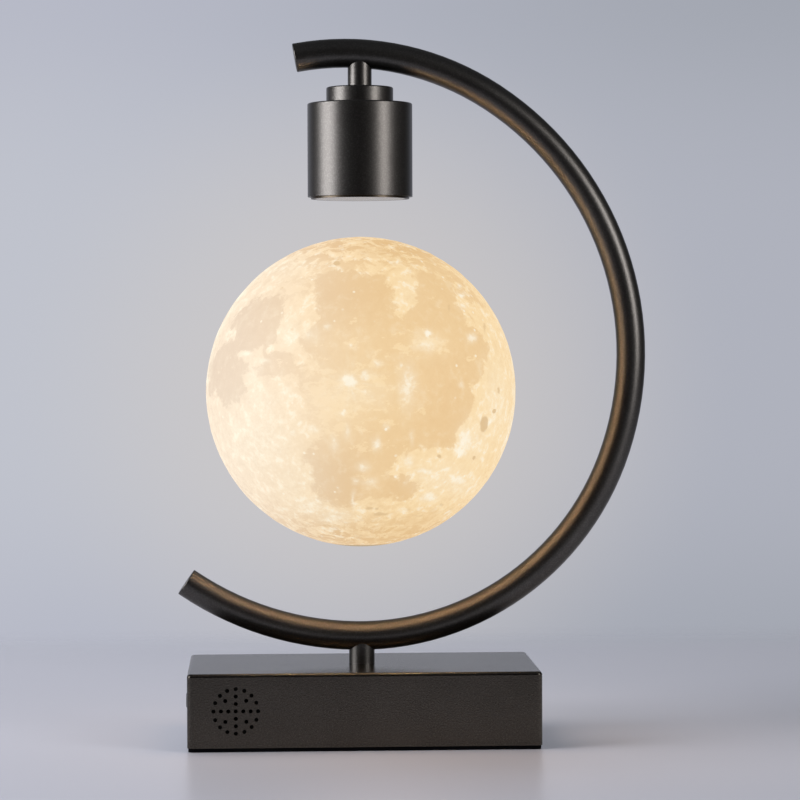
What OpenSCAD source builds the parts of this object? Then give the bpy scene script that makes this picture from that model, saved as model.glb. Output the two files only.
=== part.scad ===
// Levitating moon lamp: a box base with a speaker, a C-shaped tube arm, a magnet head
// hung from the arm and a cratered moon that floats under the head.
// Millimetres, +Z up, front towards -Y. The origin is under the arm's post, on the table.

/* [Base] */
// Width of the base box, left to right
base_w = 168; // [160:1:200]
// Depth of the base box, front to back
base_d = 90; // [84:1:110]
// Height of the base housing above its foot pad
base_h = 35; // [34:0.5:45]
// Thickness of the housing's side walls
base_wall = 2; // [1.6:0.1:3]
// Thickness of the housing's top wall
base_top_t = 2.5; // [2:0.1:3.5]
// Radius of the upright corners
base_corner_r = 2.5; // [1.8:0.1:5]
// Radius of the rounded top edge
base_edge_r = 1.6; // [0.4:0.1:1.7]
// Thickness of the soft foot pad
pad_t = 1.8; // [1:0.1:3]
// Step from the housing's side in to the foot pad's edge
pad_inset = 0.5; // [0.4:0.1:1.5]
// Thickness of the bottom plate
plate_t = 2; // [1.8:0.1:3]
// Diameter of the screw bosses in the housing's corners
boss_d = 7; // [6:0.5:9]
// Depth of a boss's side that is sunk in the walls
boss_sink = 0.5; // [0.2:0.1:1]

/* [Base weight] */
// Depth of the steel weight, front to back
weight_d = 52; // [40:1:56]
// Thickness of the steel weight
weight_t = 8; // [7:0.5:8.5]
// Gap from the left wall to the weight
weight_wall_gap = 10; // [8:0.5:14]
// Gap from the weight to the control board
weight_board_gap = 5; // [3:0.5:8]
// Centre of the weight, behind the post
weight_y = 9; // [6:1:11]
// Spacing of the two screws that hold the weight
weight_pitch = 36; // [20:1:40]

/* [Bottom screws] */
// Shank diameter of the countersunk screws
screw_d = 3; // [2.5:0.1:3]
// Head diameter of the countersunk screws
screw_head_d = 5.8; // [5.4:0.1:6]
// Depth of the countersunk head
screw_head_t = 1.5; // [1.2:0.1:1.7]
// Length of a countersunk screw with its head
screw_len = 8; // [6:0.5:8.5]

/* [Speaker] */
// Distance of the grille's centre from the base's left side
grille_edge = 23; // [22:0.5:35]
// Radius of the grille's outer ring of holes
grille_r = 10.5; // [8:0.1:10.8]
// Diameter of a grille hole
grille_hole_d = 1.9; // [1.2:0.1:2.2]
// Number of rings of holes round the centre hole
grille_rings = 3; // [2:1:3]
// Diameter of the speaker's flange
speaker_d = 26; // [25.5:0.1:26.6]
// Width of the foam gasket and of the flange under it
speaker_rim = 1; // [0.8:0.1:1.1]
// Thickness of the foam gasket
gasket_t = 1; // [0.8:0.1:1.5]
// Depth of the speaker's basket
basket_h = 8; // [7:0.5:10]
// Wall of the basket
basket_wall = 1; // [0.8:0.1:1.4]
// Diameter of the speaker's magnet
speaker_magnet_d = 18; // [16:0.5:20]
// Height of the speaker's magnet
speaker_magnet_h = 5; // [4:0.5:8]
// Diameter of the dust cap in the cone
dust_cap_d = 8; // [6:0.5:9]
// Thickness of the cone's paper
cone_t = 0.4; // [0.3:0.05:0.6]
// Wall of the ring that locates the speaker
speaker_ring_t = 1.2; // [1:0.1:1.3]
// Depth of the ring that locates the speaker
speaker_ring_h = 4; // [3:0.5:5]

/* [Button] */
// Diameter of the side button
button_d = 7; // [6:0.1:8]
// How far the button stands out of the side
button_proud = 1.3; // [0.8:0.1:2]
// Radius of the button's rounded edge
button_edge_r = 0.25; // [0.1:0.05:0.6]
// Travel of the button
button_travel = 0.5; // [0.3:0.1:0.6]
// Diameter of the flange that keeps the button in
button_flange_d = 9.5; // [9:0.1:10]
// Thickness of the flange that keeps the button in
button_flange_t = 1.2; // [0.8:0.1:1.6]
// Diameter of the stem behind the button
button_stem_d = 3; // [2:0.1:3.4]
// Height of the bosses that carry the button's board
button_boss_h = 8; // [7:0.5:10]
// Diameter of the bosses that carry the button's board
button_boss_d = 5; // [4:0.5:6]
// Spacing of the bosses that carry the button's board
button_boss_pitch = 20; // [18:1:24]
// Side of the square push switch
switch_w = 6; // [5:0.1:7]
// Height of the push switch's case
switch_h = 3.5; // [3:0.1:4]
// Diameter of the push switch's plunger
plunger_d = 3.5; // [3:0.1:4]
// How far the plunger stands out of its case
plunger_out = 1.5; // [1:0.1:1.6]
// How far the plunger reaches into its case
plunger_in = 1; // [0.6:0.1:1.2]
// Shank diameter of the button board's screws
small_screw_d = 2; // [1.6:0.1:2.2]
// Head diameter of the button board's screws
small_head_d = 3.8; // [3.2:0.1:4]
// Head height of the button board's screws
small_head_t = 1.3; // [1:0.1:1.6]
// Length of the button board's screws under the head
small_screw_len = 6; // [4:0.5:7]

/* [Control board] */
// Thickness of the circuit boards
board_t = 1.6; // [1:0.1:2]
// Reach of the control board left of the post
board_left = 9; // [8:0.5:9.5]
// Reach of the control board right of the post
board_right = 72; // [66:1:73]
// Reach of the control board in front of the post
board_front = 34; // [28:1:35]
// Reach of the control board behind the post
board_back = 36; // [32:1:37]
// Height of the control board's standoffs
standoff_h = 6; // [4:0.5:7]
// Diameter of the standoffs
standoff_d = 6; // [5:0.5:7]
// Distance of the standoffs from the board's edges
standoff_inset = 4; // [3.5:0.5:5]
// Head diameter of the board screws
pan_head_d = 5.5; // [5:0.1:6]
// Head height of the board screws
pan_head_t = 2; // [1.5:0.1:2.5]
// Length of the board screws under the head
pan_screw_len = 6; // [5:0.5:7]
// Width of the cable connectors
plug_w = 10; // [8:0.5:12]
// Height of the cable connector on the board
plug_h = 6; // [5:0.5:7]

/* [Board components] */
// Diameter of the two capacitors
capacitor_d = 8; // [6:0.5:9]
// Height of the capacitors
capacitor_h = 11; // [8:0.5:14]
// Spacing of the capacitors
capacitor_pitch = 10; // [9.5:0.5:12]
// Distance of the first capacitor right of the post
capacitor_x = 30; // [24:1:40]
// Distance of the capacitors in front of the post
capacitor_y = 22; // [18:1:26]
// Width of the radio module
radio_w = 18; // [14:0.5:22]
// Depth of the radio module
radio_d = 13; // [10:0.5:16]
// Height of the radio module
radio_h = 2.4; // [2:0.1:3.5]
// Distance of the radio module's left edge right of the post
radio_x = 20; // [16:1:22]
// Distance of the radio module's front edge behind the post
radio_y = 4; // [2:1:6]
// Side of the power chip
chip_w = 7; // [5:0.5:8]
// Height of the power chip
chip_h = 1.6; // [1:0.1:2]
// Distance of the power chip's left edge right of the post
chip_x = 28; // [20:1:34]
// Distance of the power chip's front edge in front of the post
chip_y = 10; // [9:0.5:12]
// Diameter of the choke
choke_d = 14; // [11:0.5:16]
// Bore of the choke
choke_bore = 6; // [5:0.5:7]
// Height of the choke
choke_h = 6; // [5:0.5:8]
// Distance of the choke's axis right of the post
choke_x = 55; // [50:1:60]
// Distance of the choke's axis in front of the post
choke_y = 6; // [4:1:10]

/* [Power inlet] */
// Distance of the inlet's axis right of the post
inlet_x = 45; // [40:1:55]
// Width of the inlet's case
inlet_w = 9; // [9:0.5:12]
// Depth of the inlet's case behind the wall
inlet_depth = 12; // [11:0.5:15]
// Height of the inlet's case
inlet_h = 11; // [10:0.5:12]
// Diameter of the inlet's nose in the wall
inlet_nose_d = 8; // [7.6:0.1:8.6]
// Diameter of the inlet's socket
inlet_socket_d = 6.3; // [6:0.1:6.5]
// Depth of the inlet's socket
inlet_socket_h = 9.5; // [8.5:0.5:10]
// Diameter of the inlet's centre pin
inlet_pin_d = 2; // [1.6:0.1:2.5]
// Distance of the pin's tip below the socket's mouth
inlet_pin_recess = 1; // [0.5:0.1:2]

/* [Arm] */
// Outer diameter of the arm's tube
tube_d = 14; // [12.5:0.5:16]
// Wall of the arm's tube
tube_wall = 1; // [0.8:0.1:1.5]
// Radius of the arm's two wide bends, the tail and the side
arm_wide_r = 148.5; // [144:0.5:156]
// Radius of the arm's two tight bends, below and above
arm_tight_r = 130.5; // [126:0.5:136]
// Turn of the tail, left of the post
arm_tail_turn = 34.5; // [25:0.5:45]
// Turn of the lower bend
arm_low_turn = 69.3; // [66:0.1:73]
// Turn of the right-hand side
arm_side_turn = 77.6; // [75:0.1:80]
// Turn of the upper bend
arm_top_turn = 43.4; // [40:0.1:55]
// Gap between the base and the arm over the post
arm_lift = 6.3; // [5.5:0.1:9]
// Diameter of the post on the base
lower_post_d = 12.4; // [11:0.1:13]
// Diameter of the post that carries the head
upper_post_d = 11.6; // [11:0.1:12]
// Thickness of the caps on the tube's ends
end_cap_t = 1.2; // [0.8:0.1:2]
// Radius of the caps' rounded edges
end_edge_r = 0.5; // [0.2:0.1:0.7]
// Length of the caps' spigots in the tube
end_spigot_h = 4; // [3:0.5:5]

/* [Arm fixing] */
// Outer diameter of the threaded nipples
nipple_d = 8; // [7.6:0.1:8.4]
// Bore of the threaded nipples
nipple_bore = 5; // [4.6:0.1:5.6]
// How far a nipple screws into its post
nipple_grip = 4.5; // [3.5:0.1:5]
// How far a nipple stands out of its nut
nipple_out = 0.6; // [0.4:0.1:1.2]
// Width of the nuts across their flats
nut_af = 13; // [12:0.5:14]
// Height of the nuts
nut_h = 6.5; // [5:0.5:7]
// Diameter of the washers
washer_d = 18; // [16:0.5:20]
// Thickness of the washers
washer_t = 1.6; // [1:0.1:2]

/* [Cable] */
// Diameter of the cable through the arm
cable_d = 3.2; // [2.4:0.1:3.6]
// Radius of the cable's bends into the posts
cable_bend_r = 7; // [6:0.5:8]
// Diameter of the cable holes in the tube
cable_hole_d = 6; // [5.4:0.1:6.4]

/* [Head] */
// Diameter of the head
head_d = 50.8; // [48:0.2:54]
// Height of the head's shell
head_h = 45.2; // [43:0.1:52]
// Wall of the head's shell
head_wall = 1.5; // [1.2:0.1:2]
// Thickness of the shell's top
head_top_t = 2; // [1.5:0.1:3]
// Rounded top edge of the shell and the collar
head_edge_r = 0.8; // [0.3:0.1:1.2]
// Width of the shoulder inside the shell
head_shoulder = 2; // [1.2:0.1:3]
// Diameter of the collar on the head
collar_d = 32.4; // [30:0.2:36]
// Height of the collar on the head
collar_h = 7.8; // [6:0.1:9]
// Depth of the hollow under the collar
collar_hollow_h = 5; // [3:0.1:5.5]
// Wall of the collar
collar_wall = 2.5; // [2:0.1:4]
// Bare length of the upper post, from the collar to the tube
head_drop = 9.3; // [8:0.1:12]
// Height of the ring in the head's mouth
ring_h = 5; // [4.6:0.1:6]
// How far the ring stands out of the head's mouth
ring_proud = 1; // [0.5:0.1:2]
// Width of the ring's lower face
ring_face = 1.9; // [1.4:0.1:2.4]
// Width of the ledge over the cover
ring_ledge = 1.5; // [1:0.1:2]
// Thickness of the cover disc
cover_t = 2; // [1.5:0.1:2.4]

/* [Electromagnet] */
// Thickness of the steel plate over the coil
core_plate_t = 3; // [2:0.5:4]
// Diameter of the iron core
core_d = 14; // [12:0.5:16]
// Diameter of the bobbin's flanges
bobbin_d = 42; // [38:0.5:44]
// Wall of the bobbin
bobbin_wall = 1.5; // [1:0.1:2]
// Step from the bobbin's flange in to the winding
winding_step = 1.5; // [0.5:0.1:3]
// Thickness of the flat power coil
flat_coil_t = 1.5; // [1:0.1:1.8]
// Inner diameter of the flat power coil
flat_coil_bore = 16; // [12:0.5:24]
// Height of the connector over the coil
head_plug_h = 5; // [4:0.5:6]
// Room between the connector and the nipple
head_plug_room = 0.9; // [0.6:0.1:2]
// Side of the magnetic sensor
sensor_w = 4; // [3:0.5:6]
// Height of the magnetic sensor
sensor_h = 1; // [0.6:0.1:1.2]

/* [Moon] */
// Diameter of the moon
moon_d = 150; // [140:1:156]
// Wall of the moon
moon_wall = 2; // [1.8:0.1:3]
// Floating gap between the head and the moon
moon_gap = 18.4; // [12:0.1:24]
// Diameter of the plug under the moon
plug_d = 30; // [24:0.5:36]
// Width of the ledge that the plug seats on
plug_ledge = 1.5; // [1:0.1:2]
// Height of the plug's spigot
plug_spigot_h = 3; // [2.5:0.1:5]
// Depth of the large craters below their rims
crater_depth = 0.5; // [0.2:0.05:0.6]
// Number of small craters
pit_count = 44; // [20:1:60]
// Largest rim radius of the small craters
pit_r = 3.2; // [1.5:0.1:4]
// Depth of the small craters below their rims
pit_depth = 0.35; // [0.1:0.05:0.4]

/* [Moon magnet and lights] */
// Diameter of the moon's magnet
magnet_d = 20; // [16:0.5:22]
// Height of the moon's magnet
magnet_h = 12; // [10:0.5:14]
// Wall of the magnet holder over the magnet
holder_roof = 2; // [1.2:0.1:3]
// Diameter of the magnet holder
holder_d = 34; // [30:0.5:36]
// Diameter of the magnet holder's flange and of the light board
holder_flange_d = 46; // [44:0.5:52]
// Thickness of the magnet holder's flange
holder_flange_t = 2; // [1.5:0.1:3]
// Outer diameter of the receiving coil
receiver_d = 43; // [40:0.5:44]
// Height of the receiving coil
receiver_h = 3; // [2:0.5:4]
// Number of lights
led_count = 6; // [4:1:10]
// Radius of the ring of lights
led_ring_r = 15; // [13:0.5:18]
// Side of a light
led_w = 5; // [3.5:0.5:5]
// Height of a light
led_h = 1.6; // [1:0.1:2]

/* [Fits] */
// Slack round pieces that slide over or into each other
fit = 0.1; // [0.05:0.05:0.15]
// Slack round screws in their holes
screw_slack = 0.2; // [0.1:0.05:0.3]
// Gap round the button, and behind the wall to its flange
button_gap = 0.2; // [0.15:0.05:0.3]
// Running gap round the switch's plunger
plunger_gap = 0.08; // [0.05:0.01:0.1]
// Gap left for weld or glue between curved faces
weld_gap = 0.05; // [0.02:0.01:0.1]
// Gap round the bottom plate and the board edges
edge_gap = 0.4; // [0.2:0.05:0.6]
// Length of the seam where two bends meet
seam_w = 0.6; // [0.4:0.1:1]
// How far a seam stands out of the bends that it joins
seam_h = 0.04; // [0.02:0.01:0.05]

/* [Hidden] */
$fn = 64;
// Facets of a full turn of the arm and the moon
fine_fn = 180;
// How far a cut runs past the face that it opens
past = 1;
// The same for a cut that follows an arc, in degrees
past_turn = 2;

// Heights in the base
base_top = pad_t + base_h;
plate_top = pad_t + plate_t;
cavity_top = base_top - base_top_t;
mid_z = pad_t + base_h / 2;
board_z = plate_top + standoff_h;
board_top = board_z + board_t;
base_plug_top = board_top + plug_h;
inlet_z = board_top + inlet_h / 2;

// Plan of the base
inner_w = base_w - 2 * base_wall;
inner_d = base_d - 2 * base_wall;
inner_corner_r = max(base_corner_r - base_wall, 0.5);
boss_x = inner_w / 2 + boss_sink - boss_d / 2;
boss_y = inner_d / 2 + boss_sink - boss_d / 2;
grille_x = grille_edge - base_w / 2;
weight_left = weight_wall_gap - inner_w / 2;
weight_right = -board_left - weight_board_gap;
weight_w = weight_right - weight_left;
weight_x = (weight_left + weight_right) / 2;

// Speaker, measured inwards from the front wall
basket_d = speaker_d - 2 * speaker_rim;
basket_back = gasket_t + basket_h;

// Button and switch, measured inwards from the left wall
button_seat = button_gap + button_flange_t;
plunger_tip = button_boss_h - switch_h - plunger_out;
button_board_w = button_boss_pitch + button_boss_d + 2 * edge_gap;
button_board_h = switch_w * 2;

// The arm lies in the XZ plane. An arc is [centre, radius, first heading, turn].
// A heading is the angle of travel above +X. All four arcs turn to the left.
function outward(heading) = [sin(heading), -cos(heading)];
tube_r = tube_d / 2;
tube_bore = tube_d - 2 * tube_wall;
arm_low_z = base_top + arm_lift + tube_r;
tail_c = [0, arm_low_z + arm_wide_r];
low_c = [0, arm_low_z + arm_tight_r];
side_from = arm_low_turn;
top_from = arm_low_turn + arm_side_turn;
arm_end = top_from + arm_top_turn;
side_c = low_c + (arm_tight_r - arm_wide_r) * outward(side_from);
top_c = side_c + (arm_wide_r - arm_tight_r) * outward(top_from);
tail_arc = [tail_c, arm_wide_r, -arm_tail_turn, arm_tail_turn];
low_arc = [low_c, arm_tight_r, 0, arm_low_turn];
side_arc = [side_c, arm_wide_r, side_from, arm_side_turn];
top_arc = [top_c, arm_tight_r, top_from, arm_top_turn];
tail_tip = tail_c + arm_wide_r * outward(-arm_tail_turn);
top_tip = top_c + arm_tight_r * outward(arm_end);
// Height of the arm's axis over the posts
arm_top_z = top_c[1] + sqrt(pow(arm_tight_r, 2) - pow(top_c[0], 2));

// Heights in the head
collar_top = arm_top_z - tube_r - head_drop;
head_top = collar_top - collar_h;
head_bottom = head_top - head_h;
ring_bottom = head_bottom - ring_proud;
ring_top = ring_bottom + ring_h;
cover_top = ring_bottom + cover_t;
coil_bottom = ring_top + board_t;
head_nut_bottom = head_top - head_top_t - washer_t - nut_h;
head_plug_top = head_nut_bottom - nipple_out - head_plug_room;
core_plate_top = head_plug_top - head_plug_h;
coil_top = core_plate_top - core_plate_t;

// Widths in the head
mouth_d = head_d - 2 * head_wall;
ring_d = mouth_d - 2 * fit;
cover_d = ring_d - 2 * ring_face;
ledge_id = cover_d - 2 * ring_ledge;
bobbin_hub_d = core_d + 2 * fit + 2 * bobbin_wall;

// The cable rises in the lower post, bends into the arm and drops into the head.
// The lower bend touches the lower arc from outside, the upper bend touches the top arc from inside.
cable_low_join = asin(cable_bend_r / (arm_tight_r + cable_bend_r));
cable_low_c = low_c + (arm_tight_r + cable_bend_r) * outward(cable_low_join);
cable_top_join = 180 - asin((cable_bend_r - top_c[0]) / (arm_tight_r - cable_bend_r));
cable_top_c = top_c + (arm_tight_r - cable_bend_r) * outward(cable_top_join);

// Moon
moon_r = moon_d / 2;
moon_z = ring_bottom - moon_gap - moon_r;
moon_inner_r = moon_r - moon_wall;
plug_hole_d = plug_d - 2 * plug_ledge;
// Height of the plug's ledge, halfway through the wall at the plug's edge
plug_seat = -(sqrt(pow(moon_r, 2) - pow(plug_d / 2, 2)) + sqrt(pow(moon_inner_r, 2) - pow(plug_d / 2, 2))) / 2;
holder_top_r = moon_inner_r - weld_gap;
holder_bottom = holder_top_r - holder_roof - magnet_h;

// Large craters as [height above the moon's equator, turn to the right of the front, rim radius],
// in degrees and millimetres
craters = [
    [4, -4, 4.5], [22, 27, 5.5], [24, -13, 3.6], [16, -3, 3.2], [11, -37, 4.2],
    [10, 7, 3.4], [9, 16, 4.0], [2, 40, 5.0], [-12, 53, 6.0], [-7, 58, 4.2],
    [-25, 52, 5.2], [-47, 4, 5.5], [-22, -44, 6.5], [-36, -28, 5.0], [-38, 22, 4.4],
    [46, 40, 5.0], [48, -36, 4.6], [-58, -20, 4.8],
    [5, 118, 6.5], [-28, 142, 7.5], [34, 160, 6.0], [-8, -160, 8.0], [26, -118, 6.2],
    [-34, -108, 7.0], [52, 112, 5.2], [-56, 96, 6.0], [55, -158, 6.4]
];

// Shared shapes

module pipe(outer_d, inner_d, h) {
    difference() {
        cylinder(d = outer_d, h = h);
        translate([0, 0, -past]) cylinder(d = inner_d, h = h + 2 * past);
    }
}

// A block standing on z = 0 with round upright corners
module rounded_block(w, d, h, r) {
    translate([-w / 2 + r, -d / 2, 0]) cube([w - 2 * r, d, h]);
    translate([-w / 2, -d / 2 + r, 0]) cube([w, d - 2 * r, h]);
    for (x = [-1, 1], y = [-1, 1])
        translate([x * (w / 2 - r), y * (d / 2 - r), 0]) cylinder(r = r, h = h);
}

// Half of an upright section with a rounded top corner, from the axis out to half_w
module edge_half(half_w, h, edge_r) {
    square([half_w, h - edge_r]);
    square([half_w - edge_r, h]);
    translate([half_w - edge_r, h - edge_r]) circle(edge_r);
}

// A whole upright section with two rounded top corners
module edge_section(w, h, edge_r) {
    translate([-w / 2, 0]) square([w, h - edge_r]);
    translate([-w / 2 + edge_r, 0]) square([w - 2 * edge_r, h]);
    for (x = [-1, 1])
        translate([x * (w / 2 - edge_r), h - edge_r]) circle(edge_r);
}

// A turned disc with a rounded top edge
module soft_disc(d, h, edge_r) {
    rotate_extrude() intersection() {
        edge_half(d / 2, h, edge_r);
        square([d, h]);
    }
}

// A block with round upright corners and a rounded top edge
module soft_block(w, d, h, r, edge_r) {
    rotate([90, 0, 0]) translate([0, 0, -d / 2 + r])
        linear_extrude(d - 2 * r) edge_section(w, h, edge_r);
    rotate([90, 0, 90]) translate([0, 0, -w / 2 + r])
        linear_extrude(w - 2 * r) edge_section(d, h, edge_r);
    for (x = [-1, 1], y = [-1, 1])
        translate([x * (w / 2 - r), y * (d / 2 - r), 0]) soft_disc(2 * r, h, edge_r);
}

// Places children at the four corners of a rectangle
module at_corners(x, y) {
    for (i = [-1, 1], j = [-1, 1])
        translate([i * x, j * y, 0]) children();
}

// Carries a flat section along one arc of the arm
module along_arc(arc) {
    translate([arc[0][0], 0, arc[0][1]])
        rotate([90, 0, 0])
            rotate([0, 0, arc[2] - 90])
                rotate_extrude(angle = arc[3], $fn = fine_fn)
                    translate([arc[1], 0]) children();
}

// Turns children so that their +Z points along a heading at a point of the arm's plane
module at_heading(point, heading) {
    translate([point[0], 0, point[1]]) rotate([0, 90 - heading, 0]) children();
}

// Places children astride the arm's three seams, +Z along the arm
module at_seams() {
    for (arc = [low_arc, side_arc, top_arc])
        at_heading(arc[0] + arc[1] * outward(arc[2]), arc[2]) translate([0, 0, -seam_w / 2]) children();
}

// Turns children so that their +Z leaves the arm's tail, or the arm's upper end
module at_tail() {
    at_heading(tail_tip, 180 - arm_tail_turn) children();
}
module at_top_end() {
    at_heading(top_tip, arm_end) children();
}

// Local +Z points out of the front wall at the speaker, z = 0 is the wall's inner face
module at_speaker() {
    translate([grille_x, -inner_d / 2, mid_z]) rotate([90, 0, 0]) children();
}

// Local +Z points inwards from the left wall at the button, z = 0 is the wall's inner face
module at_button() {
    translate([-inner_w / 2, 0, mid_z]) rotate([0, 90, 0]) children();
}

// Local +Z points out of the back wall at the inlet, z = 0 is the wall's inner face
module at_inlet() {
    translate([inlet_x, inner_d / 2, inlet_z]) rotate([-90, 0, 0]) children();
}

// Places children on the two bosses of the button's board
module at_button_bosses() {
    at_button() for (side = [-1, 1]) translate([0, side * button_boss_pitch / 2, 0]) children();
}

// Places children at the screws of the bottom plate: four bosses and the weight
module at_base_screws() {
    at_corners(boss_x, boss_y) children();
    for (side = [-1, 1]) translate([weight_x + side * weight_pitch / 2, weight_y, 0]) children();
}

// Places children at the corners of the control board
module at_standoffs() {
    for (x = [standoff_inset - board_left, board_right - standoff_inset],
         y = [standoff_inset - board_front, board_back - standoff_inset])
        translate([x, y, 0]) children();
}

// Countersunk screw, head down on z = 0, grown by slack all round
module countersunk(slack) {
    cylinder(d1 = screw_head_d + 2 * slack, d2 = screw_d + 2 * slack, h = screw_head_t);
    cylinder(d = screw_d + 2 * slack, h = screw_len);
}

// Base

module base_housing() {
    color("#3f3c3a") difference() {
        union() {
            translate([0, 0, pad_t]) difference() {
                soft_block(base_w, base_d, base_h, base_corner_r, base_edge_r);
                translate([0, 0, -past])
                    rounded_block(inner_w, inner_d, base_h - base_top_t + past, inner_corner_r);
            }
            translate([0, 0, plate_top]) at_corners(boss_x, boss_y)
                cylinder(d = boss_d, h = cavity_top - plate_top + base_top_t / 2);
            at_speaker() translate([0, 0, -speaker_ring_h])
                pipe(speaker_d + 2 * fit + 2 * speaker_ring_t, speaker_d + 2 * fit,
                     speaker_ring_h + base_wall / 2);
            at_button_bosses() translate([0, 0, -base_wall / 2])
                cylinder(d = button_boss_d, h = button_boss_h + base_wall / 2);
        }
        // Holes for the bottom screws, the post, the button, its board's screws and the inlet
        translate([0, 0, plate_top - past]) at_corners(boss_x, boss_y)
            cylinder(d = screw_d, h = screw_len + past);
        translate([0, 0, cavity_top - past])
            cylinder(d = nipple_d + 2 * screw_slack, h = base_top_t + 2 * past);
        at_button() translate([0, 0, -base_wall - past])
            cylinder(d = button_d + 2 * button_gap, h = base_wall + 2 * past);
        at_button_bosses() translate([0, 0, button_boss_h - small_screw_len])
            cylinder(d = small_screw_d, h = small_screw_len + past);
        at_inlet() translate([0, 0, -past])
            cylinder(d = inlet_nose_d + 2 * screw_slack, h = base_wall + 2 * past);
        // The grille: a centre hole and rings of 4, 8 and 16 holes
        at_speaker() for (ring = [0 : grille_rings]) {
            count = ring == 0 ? 1 : pow(2, ring + 1);
            for (i = [0 : count - 1])
                rotate([0, 0, i * 360 / count]) translate([grille_r * ring / grille_rings, 0, -past])
                    cylinder(d = grille_hole_d, h = base_wall + 2 * past);
        }
    }
}

module base_plate() {
    color("#8b8d90") difference() {
        translate([0, 0, pad_t])
            rounded_block(inner_w - 2 * edge_gap, inner_d - 2 * edge_gap, plate_t, inner_corner_r);
        translate([0, 0, pad_t]) at_base_screws() countersunk(screw_slack);
    }
}

module foot_pad() {
    color("#161616")
        rounded_block(base_w - 2 * pad_inset, base_d - 2 * pad_inset, pad_t, base_corner_r);
}

module base_screws() {
    color("#a9abad") translate([0, 0, pad_t]) at_base_screws() countersunk(-fit);
}

module ballast_plate() {
    color("#6d6f72") difference() {
        translate([weight_x, weight_y, plate_top])
            rounded_block(weight_w, weight_d, weight_t, base_corner_r);
        for (side = [-1, 1])
            translate([weight_x + side * weight_pitch / 2, weight_y, plate_top - past])
                cylinder(d = screw_d, h = screw_len + past);
    }
}

// Speaker

module speaker_gasket() {
    color("#222222") at_speaker() translate([0, 0, -gasket_t])
        pipe(speaker_d, basket_d + 2 * fit, gasket_t);
}

module speaker_frame() {
    color("#55585c") at_speaker() translate([0, 0, -basket_back]) difference() {
        union() {
            cylinder(d1 = speaker_magnet_d, d2 = basket_d, h = basket_h);
            translate([0, 0, basket_h - basket_wall]) cylinder(d = speaker_d, h = basket_wall);
        }
        translate([0, 0, basket_wall])
            cylinder(d1 = speaker_magnet_d - 2 * basket_wall, d2 = basket_d - 2 * basket_wall, h = basket_h);
    }
}

// A paper cone hung from a flat rim that lies on the frame, with a domed cap in the middle
module speaker_cone() {
    cone_r = basket_d / 2 - 2 * basket_wall;
    cap_r = dust_cap_d / 2;
    cone_h = basket_h / 2;
    color("#2c2a29") at_speaker() translate([0, 0, -gasket_t]) {
        pipe(basket_d, 2 * (cone_r - cone_t), cone_t);
        difference() {
            translate([0, 0, -cone_h]) cylinder(r1 = cap_r, r2 = cone_r, h = cone_h + cone_t);
            translate([0, 0, -cone_h]) cylinder(r1 = cap_r - cone_t, r2 = cone_r - cone_t, h = cone_h + cone_t);
        }
        translate([0, 0, -cone_h]) rotate_extrude() intersection() {
            translate([0, -cap_r]) difference() {
                circle(cap_r * sqrt(2));
                circle(cap_r * sqrt(2) - cone_t);
            }
            square([cap_r, cap_r]);
        }
    }
}

module speaker_magnet() {
    color("#3a3b3d") at_speaker() translate([0, 0, -basket_back - speaker_magnet_h])
        cylinder(d = speaker_magnet_d, h = speaker_magnet_h);
}

// Button

module power_button() {
    color("#121212") at_button() {
        translate([0, 0, button_seat]) rotate([180, 0, 0])
            soft_disc(button_d, button_seat + base_wall + button_proud, button_edge_r);
        translate([0, 0, button_gap]) cylinder(d = button_flange_d, h = button_flange_t);
        translate([0, 0, button_seat]) cylinder(d = button_stem_d, h = plunger_tip - button_seat);
    }
}

module switch_plunger() {
    color("#b0a99a") at_button() translate([0, 0, plunger_tip])
        cylinder(d = plunger_d, h = plunger_out + plunger_in);
}

module button_switch() {
    color("#2b2d30") at_button() translate([0, 0, button_boss_h - switch_h]) difference() {
        translate([-switch_w / 2, -switch_w / 2, 0]) cube([switch_w, switch_w, switch_h]);
        translate([0, 0, -past])
            cylinder(d = plunger_d + 2 * plunger_gap, h = past + plunger_in + button_travel + button_gap);
    }
}

module button_board() {
    color("#1f5a37") difference() {
        at_button() translate([-button_board_h / 2, -button_board_w / 2, button_boss_h])
            cube([button_board_h, button_board_w, board_t]);
        at_button_bosses() translate([0, 0, button_boss_h - past])
            cylinder(d = small_screw_d + 2 * screw_slack, h = board_t + 2 * past);
    }
}

module button_screws() {
    color("#a9abad") at_button_bosses() translate([0, 0, button_boss_h + board_t]) {
        cylinder(d = small_head_d, h = small_head_t);
        translate([0, 0, -small_screw_len]) cylinder(d = small_screw_d - 2 * fit, h = small_screw_len);
    }
}

// Control board

module control_board() {
    color("#1f5a37") difference() {
        translate([-board_left, -board_front, board_z])
            cube([board_left + board_right, board_front + board_back, board_t]);
        translate([0, 0, board_z - past]) at_standoffs()
            cylinder(d = screw_d + 2 * screw_slack, h = board_t + 2 * past);
    }
}

// The cable's connector under the post, two capacitors, a radio module, a power chip and a choke
module board_components() {
    color("#24262a") translate([0, 0, board_top]) {
        translate([-plug_w / 2, -plug_w / 2, 0]) cube([plug_w, plug_w, plug_h]);
        for (i = [0, 1])
            translate([capacitor_x + i * capacitor_pitch, -capacitor_y, 0])
                cylinder(d = capacitor_d, h = capacitor_h);
        translate([radio_x, radio_y, 0]) cube([radio_w, radio_d, radio_h]);
        translate([chip_x, -chip_y, 0]) cube([chip_w, chip_w, chip_h]);
        translate([choke_x, -choke_y, 0]) pipe(choke_d, choke_bore, choke_h);
    }
}

module board_standoffs() {
    color("#b08d57") translate([0, 0, plate_top]) at_standoffs() pipe(standoff_d, screw_d, standoff_h);
}

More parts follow.
